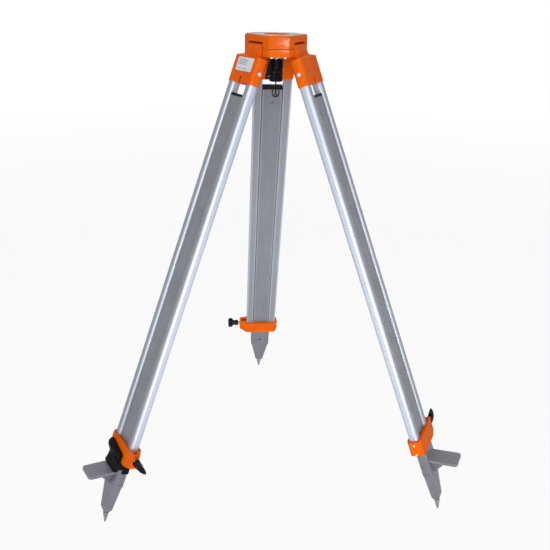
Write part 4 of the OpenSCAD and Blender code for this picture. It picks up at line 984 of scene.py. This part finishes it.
# Plain pale floor, white surroundings and soft lamps; the last two lamps give the narrow highlights
studio = {
    "floorSize": 60, "floorAlbedo": 0.75, "floorRoughness": 0.9, "floorShare": (0.92, 1.0),
    "floorFade": (1.6, 6.0), "white": (1, 1, 1), "fillStrength": 0.30,
    # name: place, width, height, watts, spread in degrees, aim
    "lamps": {
        "key": ((-0.50, -2.2, 0.75), 1.0, 1.0, 16.5, 180, (0, 0, -0.35)),
        "side": ((1.7, -1.8, 0.8), 0.9, 0.9, 6.0, 180, (0, 0, -0.4)),
        "low": ((0.1, -2.0, -0.85), 0.7, 0.7, 2.6, 40, (0, 0.25, -0.68)),
        "top": ((-0.3, 0.1, 1.9), 1.2, 1.2, 9.0, 180, (0, 0, -0.4)),
        "strip": ((-0.335, -1.52, 0.10), 0.03, 0.9, 1.5, 180, (0.02, 0, 0.0)),
        "glint": ((0.160, -1.545, -0.122), 0.020, 0.026, 0.38, 180, (0.0154, -0.062, -0.013)),
    },
}


def whiteForCamera(tree, share):
    # 1 for camera, glossy and transmission rays, times share
    rays = tree.nodes.new("ShaderNodeLightPath").outputs
    mirrored = mathNode(tree, "MAXIMUM", rays["Is Glossy Ray"], rays["Is Transmission Ray"])
    return mathNode(tree, "MULTIPLY", mathNode(tree, "MAXIMUM", rays["Is Camera Ray"], mirrored), share)


def makeFloor():
    # The floor fades to pure white far from the legs, so no horizon shows
    bpy.ops.mesh.primitive_plane_add(size=studio["floorSize"], location=(0, 0, cadBounds[0].z))
    floor = bpy.context.object
    floor.name = "studioFloor"
    material = bpy.data.materials.new("studioFloor")
    material.use_nodes = True
    tree = material.node_tree
    shader = tree.nodes["Principled BSDF"]
    shader.inputs["Base Color"].default_value = (*[studio["floorAlbedo"]] * 3, 1)
    shader.inputs["Roughness"].default_value = studio["floorRoughness"]
    place = tree.nodes.new("ShaderNodeTexCoord").outputs["Object"]
    distance = addNode(tree, "ShaderNodeVectorMath", {0: place}, operation="LENGTH").outputs["Value"]
    share = stretch(tree, distance, *studio["floorFade"], *studio["floorShare"])
    glow = addNode(tree, "ShaderNodeEmission", {"Color": studio["white"], "Strength": 1.0})
    mix = addNode(tree, "ShaderNodeMixShader", {0: whiteForCamera(tree, share),
                  1: shader.outputs[0], 2: glow.outputs[0]})
    tree.links.new(mix.outputs[0], tree.nodes["Material Output"].inputs["Surface"])
    floor.data.materials.append(material)


def makeWorld():
    world = bpy.data.worlds.new("studioWorld")
    bpy.context.scene.world = world
    world.use_nodes = True
    tree = world.node_tree
    background = tree.nodes["Background"]
    fillSocket(tree, background.inputs["Color"], studio["white"])
    strength = mathNode(tree, "MAXIMUM", whiteForCamera(tree, 1.0), studio["fillStrength"])
    tree.links.new(strength, background.inputs["Strength"])


def makeLamps():
    for name, (spot, width, height, watts, spread, aim) in studio["lamps"].items():
        data = bpy.data.lights.new(name, "AREA")
        data.shape, data.energy = "RECTANGLE", watts
        data.size, data.size_y, data.spread = width, height, math.radians(spread)
        lamp = bpy.data.objects.new(name, data)
        bpy.context.scene.collection.objects.link(lamp)
        lamp.location = spot
        lamp.visible_camera = False
        lamp.rotation_euler = (Vector(aim) - Vector(spot)).to_track_quat("-Z", "Y").to_euler()


makeFloor()
makeWorld()
makeLamps()
bpy.context.scene.view_settings.view_transform = "Standard"
print("studio made")
